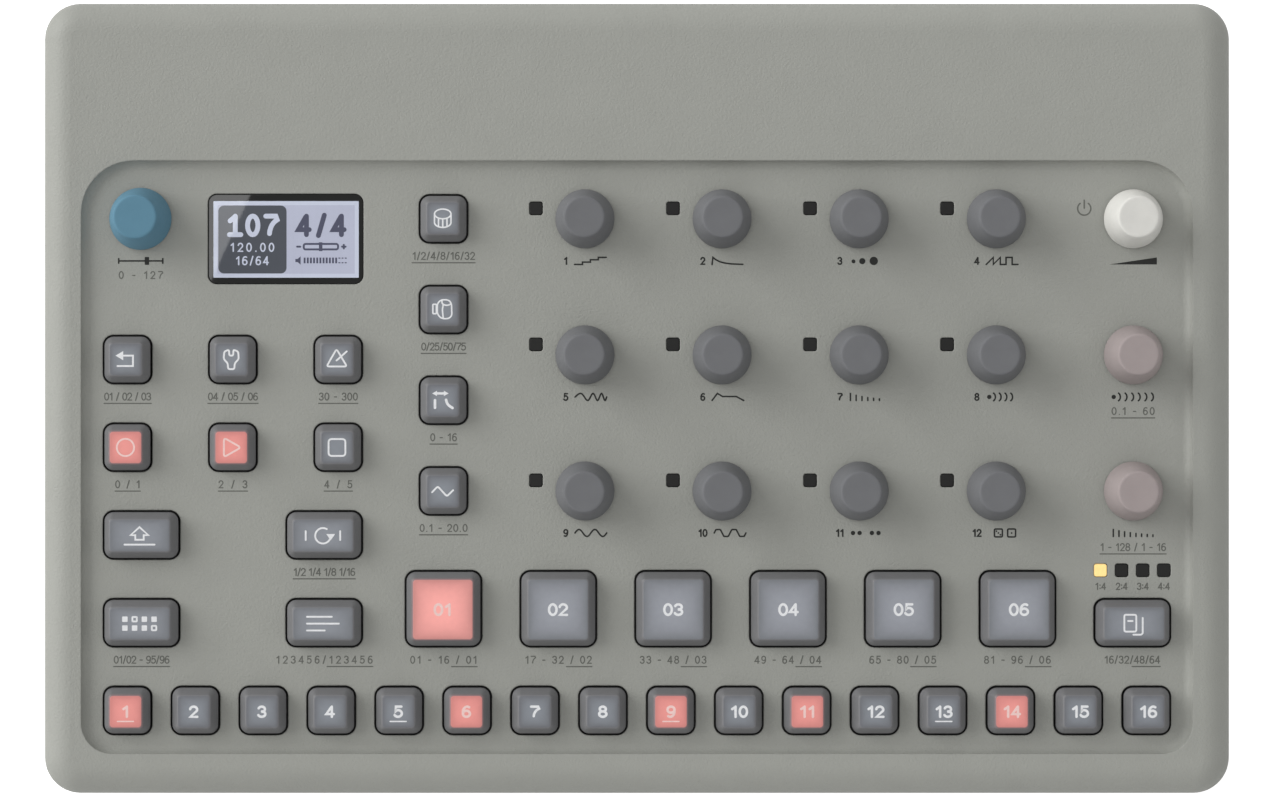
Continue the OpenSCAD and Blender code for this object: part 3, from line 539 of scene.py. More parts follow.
# Signs over the rear openings: a power ring, the inlet's polarity, a fork for USB, arrows into and out of the small
# sockets, and numbers for the outputs
ARROW_IN = [("line", [(-2.0, 0), (-0.6, 0)]), ("fill", [(0.3, 0), (-0.8, 0.6), (-0.8, -0.6)]),
            ("loop", circle(1.2, 0, 0.75, 18))]
ARROW_OUT = [("loop", circle(-1.2, 0, 0.75, 18)), ("line", [(-0.3, 0), (1.1, 0)]),
             ("fill", [(2.2, 0), (1.1, 0.6), (1.1, -0.6)])]
REAR_SIGNS = {
    "power_button": [("line", arc(0, 0, 0.95, 0.95, 128, 412, 18)), ("line", [(0, 0.1), (0, 1.25)])],
    "dc_inlet": [
        ("loop", circle(-3.0, 0, 0.7, 16)), ("line", [(-3.3, 0), (-2.7, 0)]), ("line", [(-2.3, 0), (-0.9, 0)]),
        ("line", arc(0, 0, 0.9, 0.9, 50, 310, 16)), ("fill", circle(0, 0, 0.35, 12)), ("line", [(0.4, 0), (2.3, 0)]),
        ("loop", circle(3.0, 0, 0.7, 16)), ("line", [(2.7, 0), (3.3, 0)]), ("line", [(3.0, -0.3), (3.0, 0.3)]),
    ],
    "usb_port": [
        ("line", [(-2.6, 0), (2.2, 0)]), ("fill", circle(-2.6, 0, 0.5, 14)),
        ("fill", [(3.1, 0), (2.1, 0.5), (2.1, -0.5)]), ("line", [(-1.2, 0), (-0.4, 0.8), (0.7, 0.8)]),
        ("line", [(-0.6, 0), (0.2, -0.8), (1.2, -0.8)]),
    ],
    "midi_in": ARROW_IN,
    "midi_out": ARROW_OUT,
    "sync_in": ARROW_IN,
    "sync_out": ARROW_OUT,
    "line_out_right": figures("2", 2.0, 0.3)[0],
    "line_out_left": figures("1", 2.0, 0.3)[0],
    "phones": [("line", arc(0, -0.2, 1.3, 1.2, 0, 180, 14))]
    + [("fill", box_path(x, -0.7, 0.35, 0.55)) for x in (-1.25, 1.25)],
}

# Grey numbers printed below knobs and keys, and their width in millimetres
KNOB_RANGES = {
    "data_knob": ("0 - 127", 10.5),
    "effect_knob_1": ("0.1 - 60", 9.8),
    "effect_knob_2": ("1 - 128 / 1 - 16", 15.0),
}
KEY_RANGES = {
    "menu_key_1": ("1/2/4/8/16/32", 14.3),
    "menu_key_2": ("0/25/50/75", 10.2),
    "menu_key_3": ("0 - 16", 6.1),
    "menu_key_4": ("0.1 - 20.0", 10.9),
    "back_key": ("01 / 02 / 03", 10.7),
    "tools_key": ("04 / 05 / 06", 11.4),
    "tempo_key": ("30 - 300", 8.9),
    "record_key": ("0 / 1", 5.7),
    "play_key": ("2 / 3", 6.6),
    "stop_key": ("4 / 5", 6.4),
    "retrigger_key": ("1/2 1/4 1/8 1/16", 14.1),
    "pattern_key": ("01/02 - 95/96", 12.7),
    "track_key": ("1 2 3 4 5 6 / 1 2 3 4 5 6", 22.0),
    "page_key": ("16/32/48/64", 12.7),
}
KEY_RANGES.update({name: (f"{16 * i + 1:02d} - {16 * i + 16} / {i + 1:02d}", 15.2) for i, name in enumerate(PADS)})
UNDERLINED = {"track_key": 0.47, "page_key": 0.5} | dict.fromkeys(PADS, 0.38)   # shares, where it isn't all of it
KNOB_DROP = 9.54       # a knob's centre to the sign below it
SECOND_DROP = 12.75    # a knob's centre to its second, grey sign
KEY_DROP = 8.4         # a key's centre to the range below it
PAD_DROP = 11.6
PAGE_DROP = 3.63       # a page light's centre to its number
LINE_DROP = 1.55       # a range's middle to its underline
POWER_SIGN_XY = (101.6, 43.1)
REAR_SIGN_Z = 20.9     # height of the signs over the rear sockets


def drawn(signs, stroke, low, high, rise=0.004):
    """Flat solids for drawn signs. Each stroke is a rise higher than the one before, so that crossing strokes don't
    share a face."""
    made = []
    for i, (kind, points, *own) in enumerate(signs):
        top = high + rise * (i % 5)
        width = own[0] if own else stroke
        if kind == "fill":
            points = np.asarray(points, float)
            step = np.roll(points, -1, 0) - points
            area = (points[:, 0] * step[:, 1] - points[:, 1] * step[:, 0]).sum()
            points = points if area > 0 else points[::-1]
            flat = np.full((len(points), 1), 1.0)
            made.append(loft(np.stack([np.hstack([points, flat * low]), np.hstack([points, flat * top])])))
        else:
            made.append(ribbon(points, width / 2, low, top, closed=kind == "loop"))
    return joined(made)


# ---- Pieces ----

def add_object(name, data):
    """A new object in the scene, at the origin."""
    made = bpy.data.objects.new(name, data)
    bpy.context.scene.collection.objects.link(made)
    return made


def make_piece(name, surface, material, body="housing", replaces=()):
    """Puts a surface into a mesh in metres, with its zone values as an attribute, and lets it ride on its body."""
    mesh = bpy.data.meshes.new(name)
    quads, tris = surface.quads, surface.tris
    mesh.vertices.add(len(surface.points))
    mesh.vertices.foreach_set("co", (surface.points * MM).astype(np.float32).ravel())
    loops = np.concatenate([quads.ravel(), tris.ravel()]).astype(np.int32)
    sizes = np.concatenate([np.full(len(quads), 4), np.full(len(tris), 3)])
    mesh.loops.add(len(loops))
    mesh.loops.foreach_set("vertex_index", loops)
    mesh.polygons.add(len(sizes))
    mesh.polygons.foreach_set("loop_start", np.concatenate([[0], np.cumsum(sizes)[:-1]]).astype(np.int32))
    mesh.update(calc_edges=True)
    mesh.attributes.new("zone", "FLOAT", "POINT").data.foreach_set("value", surface.zone.astype(np.float32))
    mesh.shade_smooth()
    mesh.set_sharp_from_angle(angle=SHARP_ANGLE)
    mesh.materials.append(material)
    piece = add_object(name, mesh)
    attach(piece, body)
    if replaces:
        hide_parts(*replaces)


def make_board_piece(name, surface, material):
    """A piece that stands for a part of the populated boards."""
    make_piece(name, surface, material, replaces=["circuit_board"])


def paint_node(name, material):
    """Gives a frame node its finished material."""
    mesh = frame["nodes"][name].data
    mesh.materials.clear()
    mesh.materials.append(material)


# ---- Materials ----

def set_inputs(tree, node, inputs):
    """Gives the named sockets of a node a value each, or a link from an output."""
    for key, value in inputs.items():
        if isinstance(value, bpy.types.NodeSocket):
            tree.links.new(value, node.inputs[key])
        else:
            node.inputs[key].default_value = value


def add_node(tree, kind, inputs=None, **settings):
    """Adds a shader node with its settings and inputs."""
    made = tree.nodes.new(kind)
    for key, value in settings.items():
        setattr(made, key, value)
    set_inputs(tree, made, inputs or {})
    return made


def maths(tree, operation, *values):
    """Math node over numbers or outputs."""
    return add_node(tree, "ShaderNodeMath", dict(enumerate(values)), operation=operation).outputs[0]


def mixed(tree, factor, colour, other, **settings):
    """Colour mixed with another one."""
    inputs = {0: factor, 6: colour, 7: other}
    return add_node(tree, "ShaderNodeMix", inputs, data_type="RGBA", **settings).outputs[2]


def ramp(tree, factor, stops):
    """Colour ramp with (position, colour) stops."""
    made = add_node(tree, "ShaderNodeValToRGB", {"Fac": factor})
    elements = made.color_ramp.elements
    while len(elements) < len(stops):
        elements.new(1.0)
    while len(elements) > len(stops):
        elements.remove(elements[-1])
    for element, (position, colour) in zip(elements, stops):
        element.position = position
        element.color = (*colour[:3], 1.0)
    return made.outputs["Color"]


def between(tree, factor, low, high):
    """Maps a factor from 0..1 to low..high, which are numbers or outputs."""
    made = add_node(tree, "ShaderNodeMapRange", {"Value": factor, "To Min": low, "To Max": high})
    return made.outputs["Result"]


def noise(tree, place, size_mm, detail=3.0, roughness=0.5):
    """Noise whose cells are about size_mm across."""
    inputs = {"Vector": place, "Scale": 1 / (size_mm * MM), "Detail": detail, "Roughness": roughness}
    return add_node(tree, "ShaderNodeTexNoise", inputs).outputs["Fac"]


def patches(tree, factor, low, high):
    """Colours from low to high over the middle of a noise."""
    return ramp(tree, factor, [(0.3, low), (0.7, high)])


def greys(low, high):
    return (low,) * 3, (high,) * 3


def shades(colour, spread):
    """A colour a little darker and a little lighter."""
    colour = np.array(colour[:3])
    return tuple(colour * (1 - spread)), tuple(np.minimum(colour * (1 + spread), 1))


def new_material(name):
    """A node material: its tree, its Principled shader and its Object coordinates."""
    made = bpy.data.materials.new(name)
    made.use_nodes = True
    tree = made.node_tree
    place = add_node(tree, "ShaderNodeTexCoord").outputs["Object"]
    return made, tree, tree.nodes["Principled BSDF"], place


def zone_colour(tree, stops):
    """Ramp over the piece's zone values."""
    return ramp(tree, add_node(tree, "ShaderNodeAttribute", attribute_name="zone").outputs["Fac"], stops)


def add_bump(tree, shader, height, depth_mm, **more):
    """Bump whose height has the depth given; more holds other inputs of the node."""
    inputs = {"Height": height, "Distance": depth_mm * MM, **more}
    set_inputs(tree, shader, {"Normal": add_node(tree, "ShaderNodeBump", inputs).outputs["Normal"]})


def add_grain(tree, shader, place, size_mm, depth_mm, edge_mm=0.0):
    """Fine moulded or etched grain as bump, over edges whose shading is rounded by edge_mm."""
    edge = {"Radius": edge_mm * MM}
    more = {"Normal": add_node(tree, "ShaderNodeBevel", edge, samples=8).outputs["Normal"]} if edge_mm else {}
    add_bump(tree, shader, noise(tree, place, size_mm, 2.0, 0.6), depth_mm, **more)


def plastic(name, colour, roughness=0.5, spread=0.03, patch_mm=14, grain_mm=0.3, grain_depth=0.02, specular=0.4,
            edge_mm=0.0):
    """Moulded plastic: a slow drift of its shade, uneven gloss, an etched grain and softened edges."""
    made, tree, shader, place = new_material(name)
    gloss = noise(tree, place, grain_mm * 8)
    set_inputs(tree, shader, {
        "Base Color": patches(tree, noise(tree, place, patch_mm, 4.0, 0.6), *shades(colour, spread)),
        "Roughness": between(tree, gloss, roughness - 0.06, roughness + 0.06),
        "Specular IOR Level": specular,
    })
    add_grain(tree, shader, place, grain_mm, grain_depth, edge_mm)
    return made


def metal(name, colour, roughness=0.3, streak_mm=(0.12, 4.0, 4.0)):
    """Metal with fine drawn streaks, which noise stretched along two axes gives."""
    made, tree, shader, place = new_material(name)
    scale = tuple(1 / (s * MM) for s in streak_mm)
    stretched = add_node(tree, "ShaderNodeMapping", {"Vector": place, "Scale": scale}).outputs["Vector"]
    streak = add_node(tree, "ShaderNodeTexNoise", {"Vector": stretched, "Scale": 1.0, "Detail": 3.0}).outputs["Fac"]
    set_inputs(tree, shader, {
        "Base Color": patches(tree, streak, *shades(colour, 0.08)),
        "Roughness": between(tree, streak, roughness - 0.08, roughness + 0.1),
        "Metallic": 1.0,
    })
    add_bump(tree, shader, streak, 0.004, Strength=0.6)
    return made


def ink(name, colour):
    """Screen-printed ink: slightly uneven cover and a dry surface."""
    return plastic(name, colour, roughness=0.6, spread=0.06, patch_mm=0.8, grain_mm=0.12, grain_depth=0.004,
                   specular=0.3)


def key_plastic(name, stops, glow=None):
    """Frosted plastic coloured by the key's zone values. With glow, which holds the colours at the edge and in the
    middle, the top face shines from inside."""
    made, tree, shader, place = new_material(name)
    mottle = patches(tree, noise(tree, place, 1.2), *greys(0.95, 1.0))
    set_inputs(tree, shader, {
        "Base Color": mixed(tree, 1.0, zone_colour(tree, stops), mottle, blend_type="MULTIPLY"),
        "Roughness": between(tree, noise(tree, place, 2.0), 0.40, 0.53),
    })
    if glow:
        dark = (0, 0, 0)
        lit = [(SKIRT, dark), (SPILL_END, dark), (FACE_EDGE, glow[0]), (FACE_MIDDLE, glow[1])]
        set_inputs(tree, shader, {"Emission Color": zone_colour(tree, lit), "Emission Strength": 1.0})
    add_grain(tree, shader, place, 0.18, 0.008)
    return made


def light_path_strength(tree, base, seen, sockets):
    """base, or seen for the ray kinds that sockets name."""
    path = add_node(tree, "ShaderNodeLightPath")
    kind = path.outputs[sockets[0]]
    for socket in sockets[1:]:
        kind = maths(tree, "MAXIMUM", kind, path.outputs[socket])
    return between(tree, kind, base, seen)


# ---- Settings ----

def number(name, description, default, low, high, **more):
    """A number property."""
    return FloatProperty(name=name, description=description, default=default, min=low, max=high, **more)


def metres(*about):
    """A length property that Blender shows in its own units."""
    return number(*about, subtype="DISTANCE", unit="LENGTH")


def angle(name, description, degrees):
    """An angle property, from 0 to 180 degrees."""
    return number(name, description, math.radians(degrees), 0, math.pi, subtype="ANGLE")


def tint(name, description, *rgb):
    """A colour property whose default is an 8-bit screen colour."""
    return FloatVectorProperty(
        name=name, description=description, subtype="COLOR", size=3, min=0, max=1, default=screen_colour(*rgb),
    )


class StageSettings(PropertyGroup):
    camera_height: metres("Camera height", "Height of the camera above the table", 1.027, 0.5, 3)
    camera_lens: number("Lens", "Focal length on a 36 mm wide sensor, in millimetres", 123.8, 30, 300)
    lamp_distance: metres("Lamp distance", "Distance of the main lamp from the middle of the panel", 6, 0.5, 10)
    lamp_azimuth: angle("Lamp azimuth", "Direction of the main lamp round the object, from the right side", 155)
    lamp_elevation: angle("Lamp elevation", "Height of the main lamp above the horizon", 25)
    lamp_size: metres("Lamp size", "Side of the square main lamp", 4.5, 0.1, 10)
    lamp_power: number("Lamp power", "Power of the main lamp, in watts", 251, 0, 1000)
    room_light: number("Room light", "Strength of the light from all round", 0.536, 0, 2)
    room_slant: number("Room slant", "How much stronger the room light gets towards the left", 0.7, 0, 4)
    room_horizon: number("Room horizon", "How much stronger the room light gets towards the horizon", 0.7, 0, 4)
    floor_lift: number("Floor lift", "Light that the camera sees on the floor beside the lamps' own", 0.7, 0, 2)


class HousingSettings(PropertyGroup):
    shell: tint("Shell", "Colour of the housing", 154, 155, 149)
    # painted shade: near-black colour inside the housing, which makes gaps and holes look shadowed
    inside: tint("Inside", "Colour of the screening paint inside the housing", 6, 6, 6)
    grain: number("Grain", "Width of the moulded grain, in mm", 0.5, 0.1, 1)
    edge: number("Edges", "Radius that softens the edges' shading, in mm", 0.45, 0, 1)
    grain_depth: number("Grain depth", "Depth of the moulded grain, in mm", 0.13, 0, 0.3)


class KeySettings(PropertyGroup):
    # painted shade: the key's side inside its hole is near black, so the gap round the key looks dark
    skirt: tint("Skirt", "Colour of the key's side inside its hole", 8, 8, 8)
    side: tint("Slopes", "Colour of the key's sloping sides", 110, 110, 112)
    # painted light and shade: each kind of key's top face is darker at its edge and lighter in its middle
    small_edge: tint("Small edge", "Colour of a small key's top face at its edge", 105, 107, 112)
    small_middle: tint("Small top", "Colour of a small key's top face in its middle", 131, 136, 143)
    wide_edge: tint("Wide edge", "Colour of a wide key's top face at its edge", 112, 115, 120)
    wide_middle: tint("Wide top", "Colour of a wide key's top face in its middle", 137, 141, 148)
    pad_edge: tint("Pad edge", "Colour of a pad's top face at its edge", 117, 120, 125)
    pad_middle: tint("Pad top", "Colour of a pad's top face in its middle", 151, 154, 162)
    # painted light: most of a lit key's pink glow is painted into its base colour
    lit_edge: tint("Lit edge", "Colour of a lit key's top face at its edge", 208, 130, 125)
    lit_middle: tint("Lit middle", "Colour of a lit key's top face in its middle", 236, 151, 144)
    lit_pad_edge: tint("Lit pad edge", "Colour of a lit pad's top face at its edge", 204, 136, 131)
    lit_pad_middle: tint("Lit pad middle", "Colour of a lit pad's top face in its middle", 255, 172, 165)
    spill: tint("Spill", "Colour of a lit key's slopes next to its top face", 128, 108, 109)
    legend: tint("Legend", "Colour of the printed signs", 226, 227, 229)
    # painted light: the print on a lit key is tinted pink by the key's glow
    lit_legend: tint("Lit legend", "Colour of the printed signs on a lit key", 237, 203, 198)
    top_radius: number("Top corner", "Corner radius of the top face, in mm", 0.75, 0.2, 1.5)
    crown: number("Crown", "Height of the top face's crown, in mm", 0.05, 0, 0.3)
    soft_edge: number("Soft edge", "Rounding of the top edge, in mm", 0.45, 0.05, 1)
    stroke: number("Stroke", "Width of the icon strokes, in mm", 0.41, 0.2, 0.8)
    bold_stroke: number("Bold stroke", "Width of the numerals' strokes, in mm", BOLD_STROKE, 0.2, 0.9)


class KnobSettings(PropertyGroup):
    grey: tint("Grey", "Colour of the twelve numbered knobs", 110, 111, 113.5)
    white: tint("White", "Colour of the volume knob", 214, 213, 208)
    pink: tint("Pink", "Colour of the two effect knobs", 158, 148, 147)
    blue: tint("Blue", "Colour of the data knob", 93, 133, 153)
    soft_edge: number("Soft edge", "Rounding of the knob's edges, in mm", 0.5, 0.05, 0.8)
    dish: number("Dish", "Depth of the hollow in the knob's top, in mm", 0.06, 0, 0.5)


class PrintSettings(PropertyGroup):
    dark: tint("Dark ink", "Colour of the main printed signs", 28, 29, 27)
    grey: tint("Grey ink", "Colour of the second printed signs", 98, 99, 94)
    height: number("Height", "Height of the printed numerals, in mm", 1.85, 1, 3)
    stroke: number("Stroke", "Stroke width of the dark signs, in mm", 0.36, 0.1, 0.6)
    thin_stroke: number("Thin stroke", "Stroke width of the grey signs, in mm", 0.27, 0.1, 0.6)


class DisplaySettings(PropertyGroup):
    mask: tint("Mask", "Colour of the window's dark border", 21, 22, 21)
    paper: tint("Lit ground", "Colour of the lit screen", 192, 196, 216)
    rim: tint("Lit rim", "Colour of the screen's light rim", 208, 214, 232)
    block: tint("Dark block", "Colour of the dark block on the screen", 82, 86, 94)
    mark: tint("Dark marks", "Colour of the dark marks on the screen", 84, 86, 106)


class LightSettings(PropertyGroup):
    dark: tint("Unlit", "Colour of an unlit light", 29, 29, 28)
    lit: tint("Lit", "Colour of the lit light", 250, 215, 140)
    glow: number("Glow", "Strength of the lit light", 0.35, 0, 2)


class InsideSettings(PropertyGroup):
    resist: tint("Board", "Colour of the boards' solder resist", 28, 86, 52)
    copper: tint("Copper", "Colour of the tracks under the resist", 58, 122, 78)


# ---- Operators ----

class DRUM_OT_stage(Operator):
    """Makes the floor, the lamps, the room light and the camera"""

    bl_idname = "drum_machine.stage"
    bl_label = "Stage"

    def execute(self, context):
        scene, settings = context.scene, context.scene.drum_stage
        self.make_floor(settings)
        scene.world = self.make_world(settings)
        self.make_lamps(settings)
        scene.camera = self.make_camera(settings)
        scene.view_settings.view_transform = "Standard"
        return {"FINISHED"}

    def make_floor(self, settings):
        """Plain pale floor. Seen by the camera it is a little brighter, which takes it to white round the shadow."""
        mesh = bpy.data.meshes.new("floor")
        mesh.from_pydata([(x, y, 0) for x, y in ((-3, -3), (3, -3), (3, 3), (-3, 3))], [], [(0, 1, 2, 3)])
        made, tree, shader, place = new_material("pale_floor")
        set_inputs(tree, shader, {
            "Base Color": patches(tree, noise(tree, place, 300), *greys(0.80, 0.82)),
            "Roughness": 0.9,
            "Specular IOR Level": 0.1,
            "Emission Color": (1, 1, 1, 1),
            "Emission Strength": light_path_strength(tree, 0.0, settings.floor_lift, ["Is Camera Ray"]),
        })
        mesh.materials.append(made)
        add_object("floor", mesh)

    def make_world(self, settings):
        """White to the camera and in mirrors. With the direction (x, y, z) its light is 1 + horizon (1 - z)^2 times
        1 + slant ((1 - x) / 2)^4 times the room light."""
        world = bpy.data.worlds.new("room")
        world.use_nodes = True
        tree = world.node_tree
        way = add_node(tree, "ShaderNodeTexCoord").outputs["Generated"]
        apart = add_node(tree, "ShaderNodeSeparateXYZ", {"Vector": way})
        room = settings.room_light
        for axis, lowest, power, more in (("X", -1.0, 4, settings.room_slant), ("Z", 0.0, 2, settings.room_horizon)):
            inputs = {"Value": apart.outputs[axis], "From Min": lowest, "To Min": 1.0, "To Max": 0.0}
            share = add_node(tree, "ShaderNodeMapRange", inputs).outputs["Result"]
            factor = between(tree, maths(tree, "POWER", share, power), 1.0, 1.0 + more)
            room = maths(tree, "MULTIPLY", factor, room)
        seen = ["Is Camera Ray", "Is Glossy Ray", "Is Transmission Ray"]
        strength = light_path_strength(tree, room, 1.0, seen)
        set_inputs(tree, tree.nodes["Background"], {"Color": (1, 1, 1, 1), "Strength": strength})
        return world

    def make_lamps(self, settings):
        """A broad soft lamp at the left and rear, and a small card that the display's glass mirrors."""
        flat = math.cos(settings.lamp_elevation)
        way = Vector((
            math.cos(settings.lamp_azimuth) * flat,
            math.sin(settings.lamp_azimuth) * flat,
            math.sin(settings.lamp_elevation),
        ))
        place = Vector((0, 0, PANEL_Z * MM)) + way * settings.lamp_distance
        turn = (-way).to_track_quat("-Z", "Y")
        self.add_lamp("main_lamp", place, turn, settings.lamp_power, settings.lamp_size, settings.lamp_size)
        window = Vector((*(middle("display_window") * MM), PANEL_Z * MM))
        self.add_lamp("reflection_card", window + Vector(CARD_PLACE), Quaternion((0, 0, 1), CARD_TURN), CARD_POWER,
                      *CARD_SIZE)

    def add_lamp(self, name, place, turn, power, size_x, size_y):
        """A rectangular lamp that shines along its own -Z."""
        data = bpy.data.lights.new(name, "AREA")
        data.shape = "RECTANGLE"
        data.size, data.size_y, data.energy = size_x, size_y, power
        lamp = add_object(name, data)
        lamp.location = place
        lamp.rotation_euler = turn.to_euler()
        lamp.visible_camera = False

    def make_camera(self, settings):
        """Camera that looks straight down."""
        data = bpy.data.cameras.new("camera")
        data.lens, data.sensor_width, data.clip_end = settings.camera_lens, 36, 20
        camera = add_object("camera", data)
        camera.location = (CAMERA_XY[0] * MM, CAMERA_XY[1] * MM, settings.camera_height)
        return camera


class DRUM_OT_housing(Operator):
    """Finishes the two housings and the seam between them"""

    bl_idname = "drum_machine.housing"
    bl_label = "Housing"

    def execute(self, context):
        settings = context.scene.drum_housing
        shell = plastic("housing_plastic", settings.shell, roughness=0.5, spread=0.018, patch_mm=9,
                        grain_mm=settings.grain, grain_depth=settings.grain_depth, specular=0.35,
                        edge_mm=settings.edge)
        self.paint_inside_shade(shell, settings.inside)
        paint_node("top_housing", shell)
        paint_node("bottom_housing", shell)
        return {"FINISHED"}

    def paint_inside_shade(self, shell, black):
        """Painted shade: black on what lies inside the walls and under the panel's top face, so that gaps and holes
        look dark. Its colour takes the plastic's place where |x|, |y| and |z - middle| are all below their limits."""
        tree, shader = shell.node_tree, shell.node_tree.nodes["Principled BSDF"]
        place = add_node(tree, "ShaderNodeTexCoord").outputs["Object"]
        apart = add_node(tree, "ShaderNodeSeparateXYZ", {"Vector": place})
        near = [
            maths(tree, "COMPARE", apart.outputs[axis], centre * MM, half * MM) for axis, centre, half in INSIDE_SHADE_BOX
        ]
        inside = maths(tree, "MULTIPLY", maths(tree, "MULTIPLY", near[0], near[1]), near[2])
        plain = shader.inputs["Base Color"].links[0].from_socket
        # painted shade: near-black patches take the plastic's place inside
        paint = patches(tree, noise(tree, place, 1.5), black, shades(black, 0.3)[1])
        set_inputs(tree, shader, {"Base Color": mixed(tree, inside, plain, paint)})


class DRUM_OT_keys(Operator):
    """Makes the keys and pads with their printed signs"""

    bl_idname = "drum_machine.keys"
    bl_label = "Keys and pads"

    def execute(self, context):
        settings = context.scene.drum_keys
        finishes = {kind: self.finish(kind, settings) for kind in ("small", "wide", "pad", "lit", "lit_pad")}
        legend = ink("key_legend_ink", settings.legend)
        # painted light: the legends on lit keys are tinted by the key's glow
        lit_legend = ink("key_legend_ink_lit", settings.lit_legend)
        for name in KEYS:
            lit = name in LIT_KEYS
            kind = "pad" if name in PADS else "wide" if name in WIDE_KEYS else "small"
            if lit:
                kind = "lit_pad" if kind == "pad" else "lit"
            make_piece(name + "_cap", self.key_surface(name, settings), finishes[kind], name, [name])
            stroke = settings.bold_stroke if name in STEP_KEYS + PADS else settings.stroke
            top = BOXES[name][1][2]
            sign = over(name, drawn(KEY_SIGNS[name], stroke, top - 0.12, top + 0.01))
            make_piece(name + "_sign", sign, lit_legend if lit else legend, name)
        return {"FINISHED"}

    def finish(self, kind, settings):
        """Plastic of one kind of key. A lit key's light is a share of its top's colour, which glows, and the rest of
        that colour is painted light in its base colour; it spills on its slopes as painted light.
        """
        edge, centre = (np.array(getattr(settings, f"{kind}_{part}")) for part in ("edge", "middle"))
        lit = kind.startswith("lit")
        glow = LIT_SHARE if lit else 0.0
        slope = [(SPILL_START, settings.side), (SPILL_END, settings.spill)] if lit else [(SPILL_END, settings.side)]
        return key_plastic("key_plastic_" + kind, [
            # painted shade: the skirt, stem and flange take the near-black skirt colour
            (SKIRT, settings.skirt), (SKIRT_END, settings.skirt), (SLOPE_FOOT, settings.side), *slope,
            # painted light and shade: the top face's colour runs from a darker edge to a lighter middle
            (FACE_EDGE, edge * (1 - glow)), (FACE_MIDDLE, centre * (1 - glow)),
        ], (edge * glow, centre * glow) if lit else None)

    def key_surface(self, name, settings):
        """Key as one lofted skin: plunger, retaining flange, skirt, sloping sides and crowned top. Each ring is a
        rounded rectangle. The corner radius shrinks up the slopes, and grows to a circle towards the middle of the
        top face, whose height falls from the middle by crown times the square of the distance."""
        low, high = BOXES[name]
        flange = (high[:2] - low[:2]) / 2
        base = flange - FLANGE_REACH - KEY_GAP
        bottom_z, top_z = low[2], high[2]
        flange_top = PANEL_Z - PANEL_T - SEAT
        base_r = HOLE_R - KEY_GAP
        stem = np.array([
            (PLUNGER_R - 0.2, bottom_z), (PLUNGER_R, bottom_z + 0.2), (PLUNGER_R, flange_top - FLANGE_T),
        ])
        shoulder = PANEL_Z + KEY_SHOULDER
        side = rounded([
            (0, flange_top), (0, shoulder), (KEY_SLOPE, top_z - settings.crown), (KEY_SLOPE + 2, top_z),
        ], [0.3, settings.soft_edge], 6)[:-1]
        side_r = np.interp(side[:, 0], [0, KEY_SLOPE], [base_r, settings.top_radius])
        edge = side[-1, 0]
        share = np.array([1.0, 0.98, 0.93, 0.84, 0.72, 0.58, 0.42, 0.26, 0.12, 0.04])
        face_half = np.outer(share, base - edge)
        face_r = settings.top_radius + (face_half.min(1) - settings.top_radius) * (1 - share ** 2)
        face_z = top_z - settings.crown * share ** 2
        half = np.vstack([
            np.repeat(stem[:, :1], 2, 1),
            np.tile(flange, (2, 1)),
            base - side[:, :1],
            face_half,
        ])
        radius = np.concatenate([stem[:, 0], [HOLE_R, HOLE_R], side_r, np.minimum(face_r, face_half.min(1))])
        z = np.concatenate([stem[:, 1], [flange_top - FLANGE_T, flange_top], side[:, 1], face_z])
        slope_zone = SLOPE_FOOT + (SLOPE_HEAD - SLOPE_FOOT) * np.minimum(side[:, 0] / KEY_SLOPE, 1)
        # painted shade: all of the key below the panel is in the skirt zone, which is near black
        side_zone = np.select(
            [side[:, 1] < PANEL_Z - 0.1, side[:, 0] < KEY_SLOPE + 0.2], [SKIRT, slope_zone], FACE_EDGE,
        )
        # painted light and shade: this zone takes the top face from its darker edge to its lighter middle
        face_zone = FACE_EDGE + (FACE_MIDDLE - FACE_EDGE) * (1 - share ** 2.8)
        zone = np.concatenate([np.full(len(stem) + 2, SKIRT), side_zone, face_zone])
        return over(name, loft(plate_rings(half[:, 0], half[:, 1], radius, z), zone))


